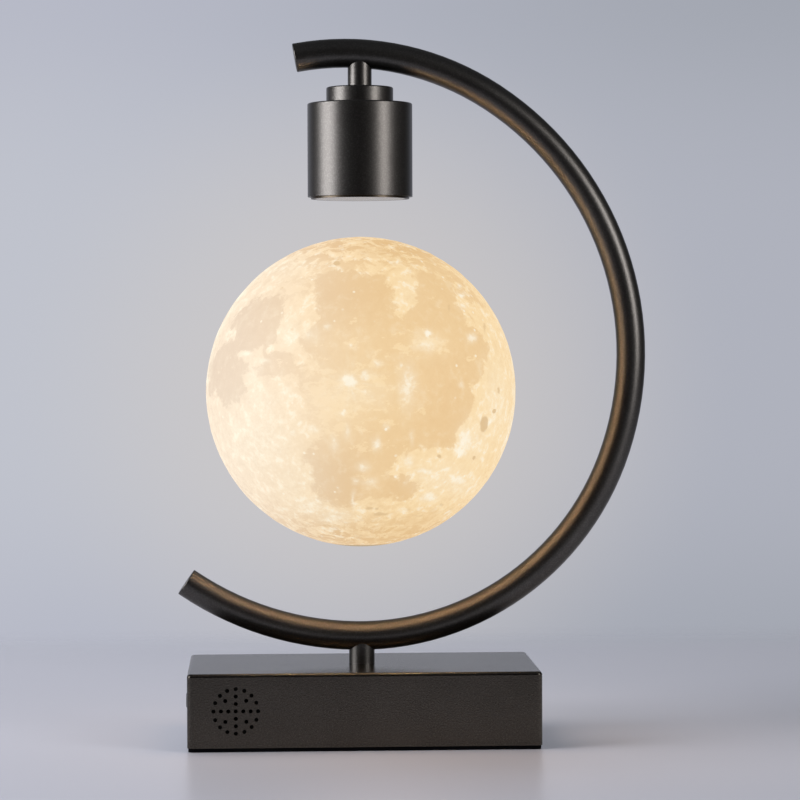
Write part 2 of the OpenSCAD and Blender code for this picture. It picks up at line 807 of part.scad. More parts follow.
module board_screws() {
    color("#a9abad") translate([0, 0, board_top]) at_standoffs() {
        cylinder(d = pan_head_d, h = pan_head_t);
        translate([0, 0, -pan_screw_len]) cylinder(d = screw_d - 2 * fit, h = pan_screw_len);
    }
}

// A socket with a centre pin in a square case that stands on the board
module power_inlet() {
    mouth = base_wall;
    color("#1b1c1e") at_inlet() {
        difference() {
            union() {
                translate([-inlet_w / 2, -inlet_h / 2, -inlet_depth])
                    cube([inlet_w, inlet_h, inlet_depth - edge_gap]);
                translate([0, 0, -inlet_depth / 2]) cylinder(d = inlet_nose_d, h = mouth + inlet_depth / 2);
            }
            translate([0, 0, mouth - inlet_socket_h]) cylinder(d = inlet_socket_d, h = inlet_socket_h + past);
        }
        translate([0, 0, mouth - inlet_socket_h - past])
            cylinder(d = inlet_pin_d, h = inlet_socket_h - inlet_pin_recess + past);
    }
}

// Arm

// A solid rod along the whole arm, whose two ends turn on by some spare degrees
module arm_rod(d, spare) {
    tail_spare = [[0, 0], 0, -spare, spare];
    top_spare = [[0, 0], 0, 0, spare];
    for (arc = [tail_arc + tail_spare, low_arc, side_arc, top_arc + top_spare]) along_arc(arc) circle(d = d);
    at_seams() cylinder(d = d + 2 * seam_h, h = seam_w);
}

module arm_tube() {
    color("#35312e") difference() {
        arm_rod(tube_d, 0);
        arm_rod(tube_bore, past_turn);
        // Cable holes over the two posts
        translate([0, 0, arm_low_z - tube_d]) cylinder(d = cable_hole_d, h = tube_d);
        translate([0, 0, arm_top_z - tube_d]) cylinder(d = cable_hole_d, h = tube_d);
    }
}

// A flat cap with a spigot in the tube, +Z outwards
module end_plug() {
    soft_disc(tube_d, end_cap_t, end_edge_r);
    translate([0, 0, -end_spigot_h]) cylinder(d = tube_bore - 2 * fit - 2 * weld_gap, h = end_spigot_h);
}

module lower_end_plug() {
    color("#35312e") at_tail() end_plug();
}

module upper_end_plug() {
    color("#35312e") at_top_end() end_plug();
}

// A post from z = 0 up, bored for the nipple below and for the cable above
module post_blank(d, h) {
    difference() {
        cylinder(d = d, h = h);
        translate([0, 0, -past]) cylinder(d = nipple_d + 2 * weld_gap, h = nipple_grip + past);
        cylinder(d = cable_hole_d, h = h + past);
    }
}

// The posts are cut to a saddle that follows the tube
module lower_post() {
    saddle_turn = 10;
    color("#35312e") difference() {
        translate([0, 0, base_top]) post_blank(lower_post_d, arm_lift + tube_r);
        along_arc([low_c, arm_tight_r, -saddle_turn, 2 * saddle_turn]) circle(d = tube_d + 2 * weld_gap);
    }
}

module upper_post() {
    color("#35312e") difference() {
        translate([0, 0, collar_top]) post_blank(upper_post_d, head_drop + tube_r);
        along_arc(top_arc) circle(d = tube_d + 2 * weld_gap);
    }
}

// Threaded nipples, washers and nuts clamp the posts to the base and to the head
module post_nipples() {
    base_len = nipple_grip + base_top_t + washer_t + nut_h + nipple_out;
    head_len = nipple_grip + collar_h + head_top_t + washer_t + nut_h + nipple_out;
    color("#b8bbbe") {
        translate([0, 0, base_top + nipple_grip - base_len]) pipe(nipple_d, nipple_bore, base_len);
        translate([0, 0, collar_top + nipple_grip - head_len]) pipe(nipple_d, nipple_bore, head_len);
    }
}

module post_washers() {
    color("#b8bbbe") for (under = [cavity_top, head_top - head_top_t])
        translate([0, 0, under - washer_t]) pipe(washer_d, nipple_d + 2 * screw_slack, washer_t);
}

module post_nuts() {
    color("#b8bbbe") for (under = [cavity_top, head_top - head_top_t])
        translate([0, 0, under - washer_t - nut_h]) difference() {
            cylinder(d = nut_af / cos(30), h = nut_h, $fn = 6);
            translate([0, 0, -past]) cylinder(d = nipple_d + 2 * weld_gap, h = nut_h + 2 * past);
        }
}

module arm_cable() {
    color("#1a1a1a") {
        translate([0, 0, base_plug_top]) cylinder(d = cable_d, h = cable_low_c[1] - base_plug_top);
        along_arc([cable_low_c, cable_bend_r, 180 + cable_low_join, 90 - cable_low_join]) circle(d = cable_d);
        along_arc([low_c, arm_tight_r, cable_low_join, arm_low_turn - cable_low_join]) circle(d = cable_d);
        along_arc(side_arc) circle(d = cable_d);
        along_arc([top_c, arm_tight_r, top_from, cable_top_join - top_from]) circle(d = cable_d);
        along_arc([cable_top_c, cable_bend_r, cable_top_join, 270 - cable_top_join]) circle(d = cable_d);
        translate([0, 0, head_plug_top]) cylinder(d = cable_d, h = cable_top_c[1] - head_plug_top);
        for (seam = [[[0, cable_low_c[1]], 90],
                     [low_c + arm_tight_r * outward(cable_low_join), cable_low_join],
                     [side_c + arm_wide_r * outward(side_from), side_from],
                     [top_c + arm_tight_r * outward(top_from), top_from],
                     [top_c + arm_tight_r * outward(cable_top_join), cable_top_join],
                     [[0, cable_top_c[1]], 270]])
            at_heading(seam[0], seam[1]) translate([0, 0, -seam_w / 2])
                cylinder(d = cable_d + 2 * seam_h, h = seam_w);
    }
}

// Head

module head_collar() {
    color("#35312e") translate([0, 0, head_top]) difference() {
        soft_disc(collar_d, collar_h, head_edge_r);
        translate([0, 0, -past]) cylinder(d = nipple_d + 2 * screw_slack, h = collar_h + 2 * past);
        translate([0, 0, -past]) cylinder(d = collar_d - 2 * collar_wall, h = collar_hollow_h + past);
    }
}

// A can that is open below, with a shoulder inside for the plate over the coil
module head_shell() {
    color("#35312e") difference() {
        translate([0, 0, head_bottom]) soft_disc(head_d, head_h, head_edge_r);
        translate([0, 0, head_bottom - past]) cylinder(d = mouth_d, h = core_plate_top - head_bottom + past);
        translate([0, 0, head_bottom])
            cylinder(d = mouth_d - 2 * head_shoulder, h = head_h - head_top_t);
        translate([0, 0, head_top - head_top_t - past])
            cylinder(d = nipple_d + 2 * screw_slack, h = head_top_t + 2 * past);
    }
}

module head_ring() {
    color("#4a4038") translate([0, 0, ring_bottom]) difference() {
        cylinder(d = ring_d, h = ring_h);
        translate([0, 0, -past]) cylinder(d = ledge_id, h = ring_h + 2 * past);
        translate([0, 0, -past]) cylinder(d = cover_d, h = cover_t + past);
    }
}

module head_cover() {
    color("#e6e4df") translate([0, 0, ring_bottom]) cylinder(d = cover_d - 2 * fit, h = cover_t);
}

module head_connector() {
    color("#e8e2d0") translate([-plug_w / 2, -plug_w / 2, core_plate_top]) cube([plug_w, plug_w, head_plug_h]);
}

// Electromagnet

module core_plate() {
    color("#8b8d90") translate([0, 0, coil_top]) cylinder(d = mouth_d - 2 * fit, h = core_plate_t);
}

module iron_core() {
    color("#6d6f72") translate([0, 0, coil_bottom]) cylinder(d = core_d, h = coil_top - coil_bottom);
}

module coil_bobbin() {
    color("#d9d2bf") translate([0, 0, coil_bottom]) difference() {
        union() {
            cylinder(d = bobbin_hub_d, h = coil_top - coil_bottom);
            cylinder(d = bobbin_d, h = bobbin_wall);
            translate([0, 0, coil_top - coil_bottom - bobbin_wall]) cylinder(d = bobbin_d, h = bobbin_wall);
        }
        translate([0, 0, -past]) cylinder(d = core_d + 2 * fit, h = coil_top - coil_bottom + 2 * past);
    }
}

module coil_winding() {
    color("#a5582b") translate([0, 0, coil_bottom + bobbin_wall])
        pipe(bobbin_d - 2 * winding_step, bobbin_hub_d + 2 * weld_gap,
             coil_top - coil_bottom - 2 * bobbin_wall);
}

module sensor_board() {
    color("#1f5a37") translate([0, 0, ring_top]) cylinder(d = mouth_d - 2 * fit, h = board_t);
}

module hall_sensor() {
    color("#24262a") translate([-sensor_w / 2, -sensor_w / 2, ring_top - sensor_h])
        cube([sensor_w, sensor_w, sensor_h]);
}

module transmit_coil() {
    color("#a5582b") translate([0, 0, cover_top]) pipe(ledge_id - 2 * edge_gap, flat_coil_bore, flat_coil_t);
}

// Moon

// Turns children so that +Z points out of the moon at a height and a turn from the front
module on_moon(height, turn) {
    rotate([0, 0, turn]) rotate([90 - height, 0, 0]) children();
}

// A ball that cuts a round bowl into the moon, along +Z: rim_r wide and depth below its rim
module bowl(rim_r, depth) {
    floor_r = sqrt(pow(moon_r, 2) - pow(rim_r, 2)) - depth;
    reach = (pow(moon_r, 2) - pow(floor_r, 2)) / (2 * depth);
    translate([0, 0, reach]) sphere(reach - floor_r);
}

module moon_ball(r) {
    rotate([0, 0, 180]) sphere(r, $fn = fine_fn);
}

module moon_shell() {
    golden_turn = 137.508;
    sizes = 5;
    color("#efe3cf") translate([0, 0, moon_z]) difference() {
        moon_ball(moon_r);
        moon_ball(moon_inner_r);
        for (c = craters) on_moon(c[0], c[1]) bowl(c[2], crater_depth);
        // Small craters on a spiral from pole to pole, of several sizes
        for (i = [2 : pit_count - 3])
            on_moon(asin(1 - 2 * (i + 0.5) / pit_count), i * golden_turn)
                bowl(pit_r * (1 + (2 * i % sizes) / (sizes - 1)) / 2, pit_depth);
        // Seat and hole for the plug
        translate([0, 0, -moon_r - past]) cylinder(d = plug_d, h = plug_seat + moon_r + past);
        translate([0, 0, -moon_r]) cylinder(d = plug_hole_d, h = moon_wall * 2 + past);
    }
}

module moon_plug() {
    color("#e3d6c0") translate([0, 0, moon_z]) {
        intersection() {
            moon_ball(moon_r);
            translate([0, 0, -moon_r]) cylinder(d = plug_d - 2 * fit, h = plug_seat + moon_r);
        }
        translate([0, 0, plug_seat]) cylinder(d = plug_hole_d - 2 * fit, h = plug_spigot_h);
    }
}

// A cup that holds the magnet under the top of the moon, with a flange for the coil and the lights
module magnet_holder() {
    color("#f2efe8") translate([0, 0, moon_z]) difference() {
        union() {
            intersection() {
                moon_ball(holder_top_r);
                translate([0, 0, holder_bottom]) cylinder(d = holder_d, h = moon_r);
            }
            translate([0, 0, holder_bottom]) cylinder(d = holder_flange_d, h = holder_flange_t);
        }
        translate([0, 0, holder_bottom - past]) cylinder(d = magnet_d + 2 * fit, h = magnet_h + past);
    }
}

module moon_magnet() {
    color("#c9ccd0") translate([0, 0, moon_z + holder_bottom]) cylinder(d = magnet_d, h = magnet_h);
}

module receive_coil() {
    color("#a5582b") translate([0, 0, moon_z + holder_bottom + holder_flange_t])
        pipe(receiver_d, holder_d + 2 * fit, receiver_h);
}

module led_board() {
    color("#f4f4f0") translate([0, 0, moon_z + holder_bottom - board_t])
        cylinder(d = holder_flange_d, h = board_t);
}

module leds() {
    color("#f6d878") translate([0, 0, moon_z + holder_bottom - board_t - led_h])
        for (i = [0 : led_count - 1])
            rotate([0, 0, i * 360 / led_count]) translate([led_ring_r - led_w / 2, -led_w / 2, 0])
                cube([led_w, led_w, led_h]);
}

base_housing();
base_plate();
foot_pad();
base_screws();
ballast_plate();
speaker_gasket();
speaker_frame();
speaker_cone();
speaker_magnet();
power_button();
switch_plunger();
button_switch();
button_board();
button_screws();
control_board();
board_components();
board_standoffs();
board_screws();
power_inlet();
arm_tube();
lower_end_plug();
upper_end_plug();
lower_post();
upper_post();
post_nipples();
post_washers();
post_nuts();
arm_cable();
head_collar();
head_shell();
head_ring();
head_cover();
head_connector();
core_plate();
iron_core();
coil_bobbin();
coil_winding();
sensor_board();
hall_sensor();
transmit_coil();
moon_shell();
moon_plug();
magnet_holder();
moon_magnet();
receive_coil();
led_board();
leds();
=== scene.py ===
import math

import bpy
import numpy as np
from mathutils import Matrix, Vector


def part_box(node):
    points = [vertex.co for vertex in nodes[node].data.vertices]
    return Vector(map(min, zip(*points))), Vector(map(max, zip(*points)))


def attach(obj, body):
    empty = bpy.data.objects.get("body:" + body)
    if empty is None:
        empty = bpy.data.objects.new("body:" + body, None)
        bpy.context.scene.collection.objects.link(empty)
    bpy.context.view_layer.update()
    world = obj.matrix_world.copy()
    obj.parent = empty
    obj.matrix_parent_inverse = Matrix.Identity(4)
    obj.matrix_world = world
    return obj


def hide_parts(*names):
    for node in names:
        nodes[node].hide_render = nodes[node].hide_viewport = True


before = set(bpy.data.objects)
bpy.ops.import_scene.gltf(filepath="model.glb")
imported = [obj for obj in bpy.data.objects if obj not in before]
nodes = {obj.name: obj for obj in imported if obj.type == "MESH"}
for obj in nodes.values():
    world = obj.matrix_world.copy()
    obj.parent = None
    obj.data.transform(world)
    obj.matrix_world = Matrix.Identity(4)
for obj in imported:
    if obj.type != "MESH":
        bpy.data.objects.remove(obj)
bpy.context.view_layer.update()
print("frame:", len(nodes), "nodes")


# One socket of a shader tree. Sums and products of wires add Math nodes.
class Wire:
    def __init__(self, tree, socket=None):
        self.tree = tree
        self.socket = socket

    # any node: its settings first, then the values or wires of its sockets
    def node(self, kind, settings=None, inputs=None, out=0):
        made = self.tree.nodes.new(kind)
        for key, value in (settings or {}).items():
            setattr(made, key, value)
        feed(made, inputs or {})
        return Wire(self.tree, made.outputs[out])

    def maths(self, operation, a, b):
        return self.node("ShaderNodeMath", {"operation": operation}, {0: a, 1: b})

    def __add__(self, other):
        return self.maths("ADD", self, other)

    def __radd__(self, other):
        return self.maths("ADD", other, self)

    def __sub__(self, other):
        return self.maths("SUBTRACT", self, other)

    def __rsub__(self, other):
        return self.maths("SUBTRACT", other, self)

    def __mul__(self, other):
        return self.maths("MULTIPLY", self, other)

    def __rmul__(self, other):
        return self.maths("MULTIPLY", other, self)

    # 0 below low, 1 above high, a soft step between them
    def between(self, low, high):
        return self.node("ShaderNodeMapRange", {"interpolation_type": "SMOOTHSTEP"},
                         {"Value": self, "From Min": low, "From Max": high})

    # 1 inside a band: it sets in over one range and ends over another, and None leaves that side open
    def band(self, start, end):
        inside = self.between(*start) if start else 1.0
        return inside * (1 - self.between(*end)) if end else inside

    def clamped(self):
        return self.node("ShaderNodeClamp", {}, {"Value": self})

    # this wire is the share of colour b over colour a
    def mix(self, a, b):
        return self.node("ShaderNodeMix", {"data_type": "RGBA"}, {0: self, 6: paint(a), 7: paint(b)}, 2)

    def noise(self, scale, detail=3.0, rough=0.5, twist=0.0):
        return self.node("ShaderNodeTexNoise", {}, {
            "Vector": self, "Scale": scale, "Detail": detail, "Roughness": rough, "Distortion": twist})

    def attribute(self, name):
        return self.node("ShaderNodeAttribute", {"attribute_name": name}, {}, "Fac")

    def bump(self, strength, depth):
        return self.node("ShaderNodeBump", {}, {"Strength": strength, "Distance": depth, "Height": self})

    def part(self, axis):
        return self.node("ShaderNodeSeparateXYZ", {}, {0: self}, axis)


def paint(colour):
    return colour if isinstance(colour, Wire) else (*colour, 1.0)


# Sockets of a node: a wire is linked, anything else is the socket's own value
def feed(node, inputs):
    for key, value in inputs.items():
        if isinstance(value, Wire):
            value.tree.links.new(value.socket, node.inputs[key])
        else:
            node.inputs[key].default_value = value


# A new material: returns it, its shader and the wire of Object coordinates
def startFinish(name):
    material = bpy.data.materials.new(name)
    material.use_nodes = True
    tree = material.node_tree
    tree.nodes.clear()
    shader = tree.nodes.new("ShaderNodeBsdfPrincipled")
    output = tree.nodes.new("ShaderNodeOutputMaterial")
    tree.links.new(shader.outputs[0], output.inputs[0])
    return material, shader, Wire(tree).node("ShaderNodeTexCoord", {}, {}, "Object")


def dress(material, *names):
    for name in names:
        data = nodes[name].data
        data.materials.clear()
        data.materials.append(material)


# A mesh from a grid of points, rows by columns. The columns close on themselves, and the first and the
# last row each draw in to one point. Edges sharper than the angle, in degrees, stay crisp.
def skinGrid(name, grid, sharp=35):
    rows, columns = grid.shape[:2]
    points = grid.reshape(-1, 3)
    first = np.arange(rows - 1)[:, None] * columns + np.arange(columns)[None, :]
    after = np.arange(rows - 1)[:, None] * columns + (np.arange(columns)[None, :] + 1) % columns
    start = np.stack([first[0] * 0, first[0] + columns, after[0] + columns], axis=-1)
    end = np.stack([first[-1], first[-1] * 0 + (rows - 1) * columns, after[-1]], axis=-1)
    quads = np.stack([first, first + columns, after + columns, after], axis=-1)[1:-1]
    corners = np.concatenate([start.ravel(), end.ravel(), quads.ravel()])
    used, corners = np.unique(corners, return_inverse=True)
    cut = start.size + end.size
    faces = corners[:cut].reshape(-1, 3).tolist() + corners[cut:].reshape(-1, 4).tolist()
    mesh = bpy.data.meshes.new(name)
    mesh.from_pydata(points[used].tolist(), [], faces)
    mesh.polygons.foreach_set("use_smooth", np.ones(len(mesh.polygons), bool))
    mesh.set_sharp_from_angle(angle=math.radians(sharp))
    piece = bpy.data.objects.new(name, mesh)
    bpy.context.scene.collection.objects.link(piece)
    return piece


# 0 below low, 1 above high, t*t*(3 - 2t) between them
def softStep(value, low, high):
    t = np.clip((value - low) / (high - low), 0, 1)
    return t * t * (3 - 2 * t)


# Value noise: random numbers on a whole-number lattice that repeats, blended by the curve 3t^2 - 2t^3
def latticeNoise(points, seed, size=32):
    table = np.random.default_rng(seed).random((size, size, size))
    cell = np.floor(points).astype(int)
    t = points - cell
    t = t * t * (3 - 2 * t)
    total = np.zeros(len(points))
    for corner in np.ndindex(2, 2, 2):
        c = np.array(corner)
        spot = (cell + c) % size
        total += table[spot[:, 0], spot[:, 1], spot[:, 2]] * np.where(c, t, 1 - t).prod(axis=1)
    return 2 * total - 1


# Fractal sum: each octave has twice the frequency and half the height
def roughNoise(points, octaves, seed):
    return sum(latticeNoise(points * 2 ** k, seed + k) / 2 ** k for k in range(octaves))


# The moon's face is mapped on the disc that the camera sees: x right and z up, both from -1 to 1.
moonMap = {
    "turn": 2.67, "lean": 1.33,  # degrees from the front to the middle of the face
    # grey seas: darkness and the points of the shore
    "seas": {
        "leftSea": (0.85, [
            (-0.61, 0.60), (-0.55, 0.61), (-0.50, 0.61), (-0.48, 0.58), (-0.49, 0.52), (-0.51, 0.47),
            (-0.51, 0.40), (-0.50, 0.34), (-0.53, 0.29), (-0.61, 0.28), (-0.67, 0.26), (-0.74, 0.25),
            (-0.74, 0.22), (-0.71, 0.19), (-0.69, 0.12), (-0.72, 0.06), (-0.71, 0.01), (-0.76, -0.06),
            (-0.84, -0.10), (-0.88, -0.05), (-0.92, -0.03), (-0.97, -0.01), (-0.98, 0.05), (-0.97, 0.15),
            (-0.94, 0.23), (-0.88, 0.29), (-0.82, 0.32), (-0.81, 0.37), (-0.79, 0.43), (-0.77, 0.49),
            (-0.72, 0.54), (-0.66, 0.58)]),
        "leftPatch": (0.75, [
            (-0.58, 0.23), (-0.49, 0.24), (-0.42, 0.22), (-0.37, 0.17), (-0.30, 0.12), (-0.35, 0.08),
            (-0.42, 0.10), (-0.49, 0.09), (-0.55, 0.06), (-0.60, 0.11), (-0.65, 0.15), (-0.61, 0.18)]),
        "wideSea": (0.8, [
            (-0.30, 0.70), (-0.26, 0.75), (-0.19, 0.77), (-0.12, 0.76), (-0.06, 0.77), (0.01, 0.75),
            (0.07, 0.74), (0.12, 0.76), (0.17, 0.72), (0.17, 0.69), (0.21, 0.65), (0.21, 0.59),
            (0.24, 0.52), (0.23, 0.48), (0.27, 0.46), (0.34, 0.51), (0.35, 0.59), (0.34, 0.67),
            (0.35, 0.73), (0.40, 0.77), (0.46, 0.76), (0.52, 0.72), (0.60, 0.67), (0.62, 0.61),
            (0.62, 0.54), (0.69, 0.47), (0.70, 0.41), (0.76, 0.35), (0.80, 0.29), (0.79, 0.19),
            (0.76, 0.12), (0.74, 0.05), (0.73, -0.03), (0.71, -0.09), (0.69, -0.16), (0.65, -0.20),
            (0.62, -0.28), (0.58, -0.35), (0.52, -0.36), (0.44, -0.36), (0.37, -0.36), (0.31, -0.34),
            (0.27, -0.40), (0.21, -0.44), (0.19, -0.50), (0.23, -0.52), (0.31, -0.53), (0.37, -0.57),
            (0.38, -0.60), (0.36, -0.64), (0.29, -0.67), (0.24, -0.69), (0.19, -0.66), (0.11, -0.69),
            (0.03, -0.66), (-0.01, -0.69), (-0.06, -0.70), (-0.12, -0.71), (-0.19, -0.69), (-0.26, -0.67),
            (-0.29, -0.63), (-0.28, -0.56), (-0.31, -0.48), (-0.34, -0.44), (-0.34, -0.40), (-0.30, -0.35),
            (-0.28, -0.30), (-0.24, -0.25), (-0.30, -0.16), (-0.32, -0.09), (-0.35, -0.03), (-0.38, 0.05),
            (-0.30, 0.11), (-0.24, 0.16), (-0.30, 0.22), (-0.34, 0.26), (-0.35, 0.32), (-0.31, 0.39),
            (-0.24, 0.46), (-0.26, 0.52), (-0.26, 0.59), (-0.30, 0.63)]),
        "topShade": (0.35, [
            (-0.54, 0.70), (-0.42, 0.73), (-0.30, 0.70), (-0.28, 0.63), (-0.35, 0.61), (-0.45, 0.59),
            (-0.47, 0.65)]),
        "topRim": (0.5, [
            (-0.12, 0.92), (0.12, 0.93), (0.24, 0.89), (0.31, 0.85), (0.24, 0.83), (0.07, 0.85),
            (-0.06, 0.88)]),
        "rightTop": (0.8, [
            (0.40, 0.87), (0.54, 0.80), (0.67, 0.69), (0.79, 0.54), (0.70, 0.56), (0.60, 0.67),
            (0.46, 0.76)]),
        "bottomRim": (0.55, [
            (0.13, -0.83), (0.35, -0.78), (0.54, -0.73), (0.50, -0.83), (0.29, -0.93), (0.09, -0.97),
            (-0.03, -0.93)]),
    },
    # changes of the seas' darkness: x, z, half width, half height, change
    "tones": [
        (-0.06, 0.65, 0.26, 0.15, 0.25), (-0.08, 0.30, 0.26, 0.09, -0.15),
        (-0.09, -0.02, 0.38, 0.24, -0.4), (0.56, -0.09, 0.20, 0.27, 0.15),
        (-0.16, -0.55, 0.17, 0.15, 0.3), (0.28, -0.60, 0.12, 0.08, 0.3), (0.43, 0.30, 0.12, 0.08, -0.35),
        (0.09, -0.55, 0.09, 0.09, -0.2), (-0.2, -0.16, 0.15, 0.17, -0.25),
    ],
    # bright ground and spots: x, z, half width, half height, strength
    "spots": [
        (-0.63, -0.30, 0.30, 0.31, 0.42), (-0.60, -0.07, 0.16, 0.10, 0.4),
        (-0.77, -0.22, 0.06, 0.09, 0.5), (-0.42, -0.55, 0.22, 0.22, 0.3), (0.50, -0.54, 0.20, 0.12, 0.35),
        (0.62, -0.60, 0.14, 0.08, 0.35), (0.86, -0.05, 0.10, 0.28, 0.35), (0.72, -0.30, 0.10, 0.16, 0.35),
        (0.02, -0.02, 0.20, 0.08, 0.25), (0.30, 0.03, 0.055, 0.14, 0.55), (-0.55, 0.80, 0.30, 0.08, 0.3),
        (-0.44, 0.36, 0.08, 0.10, 0.35), (0.31, 0.62, 0.07, 0.12, 0.15), (-0.66, 0.10, 0.05, 0.12, 0.3),
        (-0.30, 0.36, 0.07, 0.05, 0.4), (0.425, 0.359, 0.024, 0.022, 1.1), (0.42, 0.29, 0.08, 0.05, 0.45),
        (0.26, 0.164, 0.012, 0.012, 0.8), (0.11, 0.171, 0.03, 0.02, 0.5),
        (0.045, 0.099, 0.034, 0.026, 0.5), (0.636, 0.034, 0.018, 0.018, 0.55),
        (0.63, 0.664, 0.016, 0.016, 0.8), (0.646, 0.608, 0.016, 0.016, 0.9),
        (0.649, 0.534, 0.03, 0.02, 0.6), (0.701, 0.327, 0.029, 0.029, 0.6),
        (0.237, 0.814, 0.013, 0.013, 0.6), (-0.191, 0.406, 0.026, 0.02, 0.45),
        (-0.052, 0.281, 0.014, 0.014, 0.7), (-0.588, 0.187, 0.03, 0.016, 0.7),
        (-0.70, 0.23, 0.045, 0.02, 0.7), (-0.682, -0.323, 0.019, 0.019, 0.7),
        (-0.588, -0.431, 0.022, 0.016, 0.7), (-0.494, -0.466, 0.022, 0.014, 0.7),
        (-0.364, -0.199, 0.018, 0.014, 0.7), (-0.279, -0.232, 0.04, 0.03, 0.6),
        (-0.409, -0.251, 0.026, 0.02, 0.6), (-0.097, -0.128, 0.024, 0.016, 0.6),
        (-0.156, -0.329, 0.03, 0.05, 0.5), (-0.07, -0.25, 0.02, 0.05, 0.45),
        (0.11, -0.32, 0.03, 0.04, 0.7), (-0.143, -0.595, 0.01, 0.01, 0.6),
        (-0.45, 0.00, 0.06, 0.045, 0.5), (-0.40, -0.03, 0.03, 0.02, 0.5), (0.02, -0.47, 0.04, 0.03, 0.6),
        (-0.02, -0.56, 0.03, 0.02, 0.5), (-0.04, -0.68, 0.014, 0.06, 0.6), (0.30, -0.44, 0.04, 0.05, 0.5),
        (0.06, -0.56, 0.05, 0.025, 0.45), (-0.055, 0.062, 0.055, 0.034, 0.9),
        (0.17, -0.22, 0.02, 0.02, 0.45), (0.33, -0.29, 0.016, 0.05, 0.4), (0.66, -0.31, 0.05, 0.09, 0.75),
        (0.63, -0.385, 0.045, 0.03, 0.8), (0.41, -0.50, 0.07, 0.025, 0.7), (0.62, -0.56, 0.06, 0.03, 0.8),
        (0.44, -0.665, 0.06, 0.035, 0.75), (0.815, -0.20, 0.012, 0.05, 0.6),
        (-0.31, -0.72, 0.12, 0.06, 0.5), (-0.165, -0.785, 0.12, 0.05, 0.5),
        (-0.78, -0.37, 0.05, 0.09, 0.5),
    ],
    # young craters with rays: x, z, ray length, strength, headings of the rays
    "rays": [
        (-0.055, 0.062, 0.22, 0.2,
         (95, 78, 112, 130, 150, 62, -8, 12, 28, -38, -98, -140, 176, 160, 205, -75)),
        (0.425, 0.359, 0.07, 0.25, (90, 55, -30, -62, -85, -120, 178, 150)),
        (0.30, 0.03, 0.08, 0.15, (100, 75, 60, -60, -82, -100)),
    ],
    # dark crater floors: x, z, half width, half height, darkness
    "floors": [
        (0.78, -0.21, 0.03, 0.05, 0.85), (0.848, -0.128, 0.014, 0.016, 0.85),
        (0.877, 0.002, 0.01, 0.026, 0.5), (0.721, -0.423, 0.014, 0.012, 0.7),
        (0.494, -0.41, 0.014, 0.014, 0.6), (-0.143, 0.805, 0.026, 0.012, 0.75),
        (-0.18, 0.79, 0.012, 0.01, 0.4), (-0.416, 0.385, 0.019, 0.013, 0.3),
        (-0.487, 0.651, 0.016, 0.01, 0.4), (-0.218, -0.847, 0.032, 0.008, 0.35),
        (-0.273, -0.901, 0.026, 0.008, 0.3), (0.13, -0.77, 0.06, 0.014, 0.45),
        (0.06, -0.735, 0.035, 0.012, 0.5), (0.364, -0.784, 0.052, 0.01, 0.3),
        (0.30, -0.745, 0.02, 0.012, 0.3), (0.513, -0.719, 0.019, 0.011, 0.4),
        (-0.019, -0.915, 0.045, 0.012, 0.3), (0.487, -0.842, 0.058, 0.011, 0.25),
        (-0.403, -0.784, 0.026, 0.008, 0.3), (0.584, -0.751, 0.032, 0.011, 0.3),
        (-0.205, -0.875, 0.018, 0.008, 0.3), (0.105, -0.735, 0.016, 0.01, 0.5),
        (0.56, 0.52, 0.012, 0.03, 0.4), (0.79, 0.40, 0.01, 0.04, 0.4),
    ],
    # far side: darkness of its seas, and the noise that is above the level in them
    "farSeas": {"tone": 0.8, "height": 0.5, "scale": 2.4, "octaves": 5, "seed": 53, "level": 0.13},
    "shoreReach": 0.2, "seaBlend": 0.03, "nearSide": (-0.15, 0.05), "limbStep": (0.1, 0.5),
    # uneven edges: shift, scale, octaves and two seeds
    "spotEdges": (0.012, 20, 3, 81, 85), "floorEdges": (0.006, 30, 3, 91, 95),
    # rays: mean, spread, scale, octaves and seed of their streaks, then width at the start and its growth
    "rayStreaks": (0.8, 0.7, 24, 3, 71), "rayWidth": (0.006, 0.045), "spotsEnd": (0, 0.1),
    # painted highlights: bright strips along the limb
    "paintedLimbHighlights": {
        "at": 0.14, "half": 0.1, "noise": (0.75, 1.1, 13, 4, 101),
        "left": {"strength": 0.55, "out": (0.5, 0.75), "up": (-0.2, 0.2)},
        "right": {"strength": 0.4, "out": (0.6, 0.85), "up": (-0.7, -0.3), "end": (0.2, 0.5)},
    },
}

millimetre = 0.001
moonSkin = {
    "columns": 340, "rows": 270, "innerRows": 12,
    "crowd": 0.6, "rowCrowd": 0.25,  # these draw the columns to the front and the rows to the equator
    "wall": 0.002, "plugRadius": 0.015,
    "plugFade": 0.02, "poleFade": 0.0005,  # the relief fades out to the plug and to the top point
    "roughness": 0.00009, "roughGrain": (16, 4, 3),  # the grain's scale, octaves and seed
    "craterDepth": 0.00035, "fullDepthFrom": 2.5,  # craters below this radius in millimetres are shallower
    "rimHeight": 0.0001, "rimWidth": 0.25, "craterReach": 3,  # the last two in rim radii
    # large craters: degrees above the equator, degrees right of the front, rim radius in millimetres
    "craters": [
        (4, -4, 4.5), (22, 27, 5.5), (24, -13, 3.6), (16, -3, 3.2), (11, -37, 4.2), (10, 7, 3.4),
        (9, 16, 4.0), (2, 40, 5.0), (-12, 53, 6.0), (-7, 58, 4.2), (-25, 52, 5.2), (-47, 4, 5.5),
        (-22, -44, 6.5), (-36, -28, 5.0), (-38, 22, 4.4), (46, 40, 5.0), (48, -36, 4.6), (-58, -20, 4.8),
        (5, 118, 6.5), (-28, 142, 7.5), (34, 160, 6.0), (-8, -160, 8.0), (26, -118, 6.2),
        (-34, -108, 7.0), (52, 112, 5.2), (-56, 96, 6.0), (55, -158, 6.4),
    ],
    # small craters: radius in millimetres, share of the depth of a large one
    "smallCraters": 420, "smallRadius": (0.7, 2.4), "smallShare": 0.45, "smallSeed": 12,
}


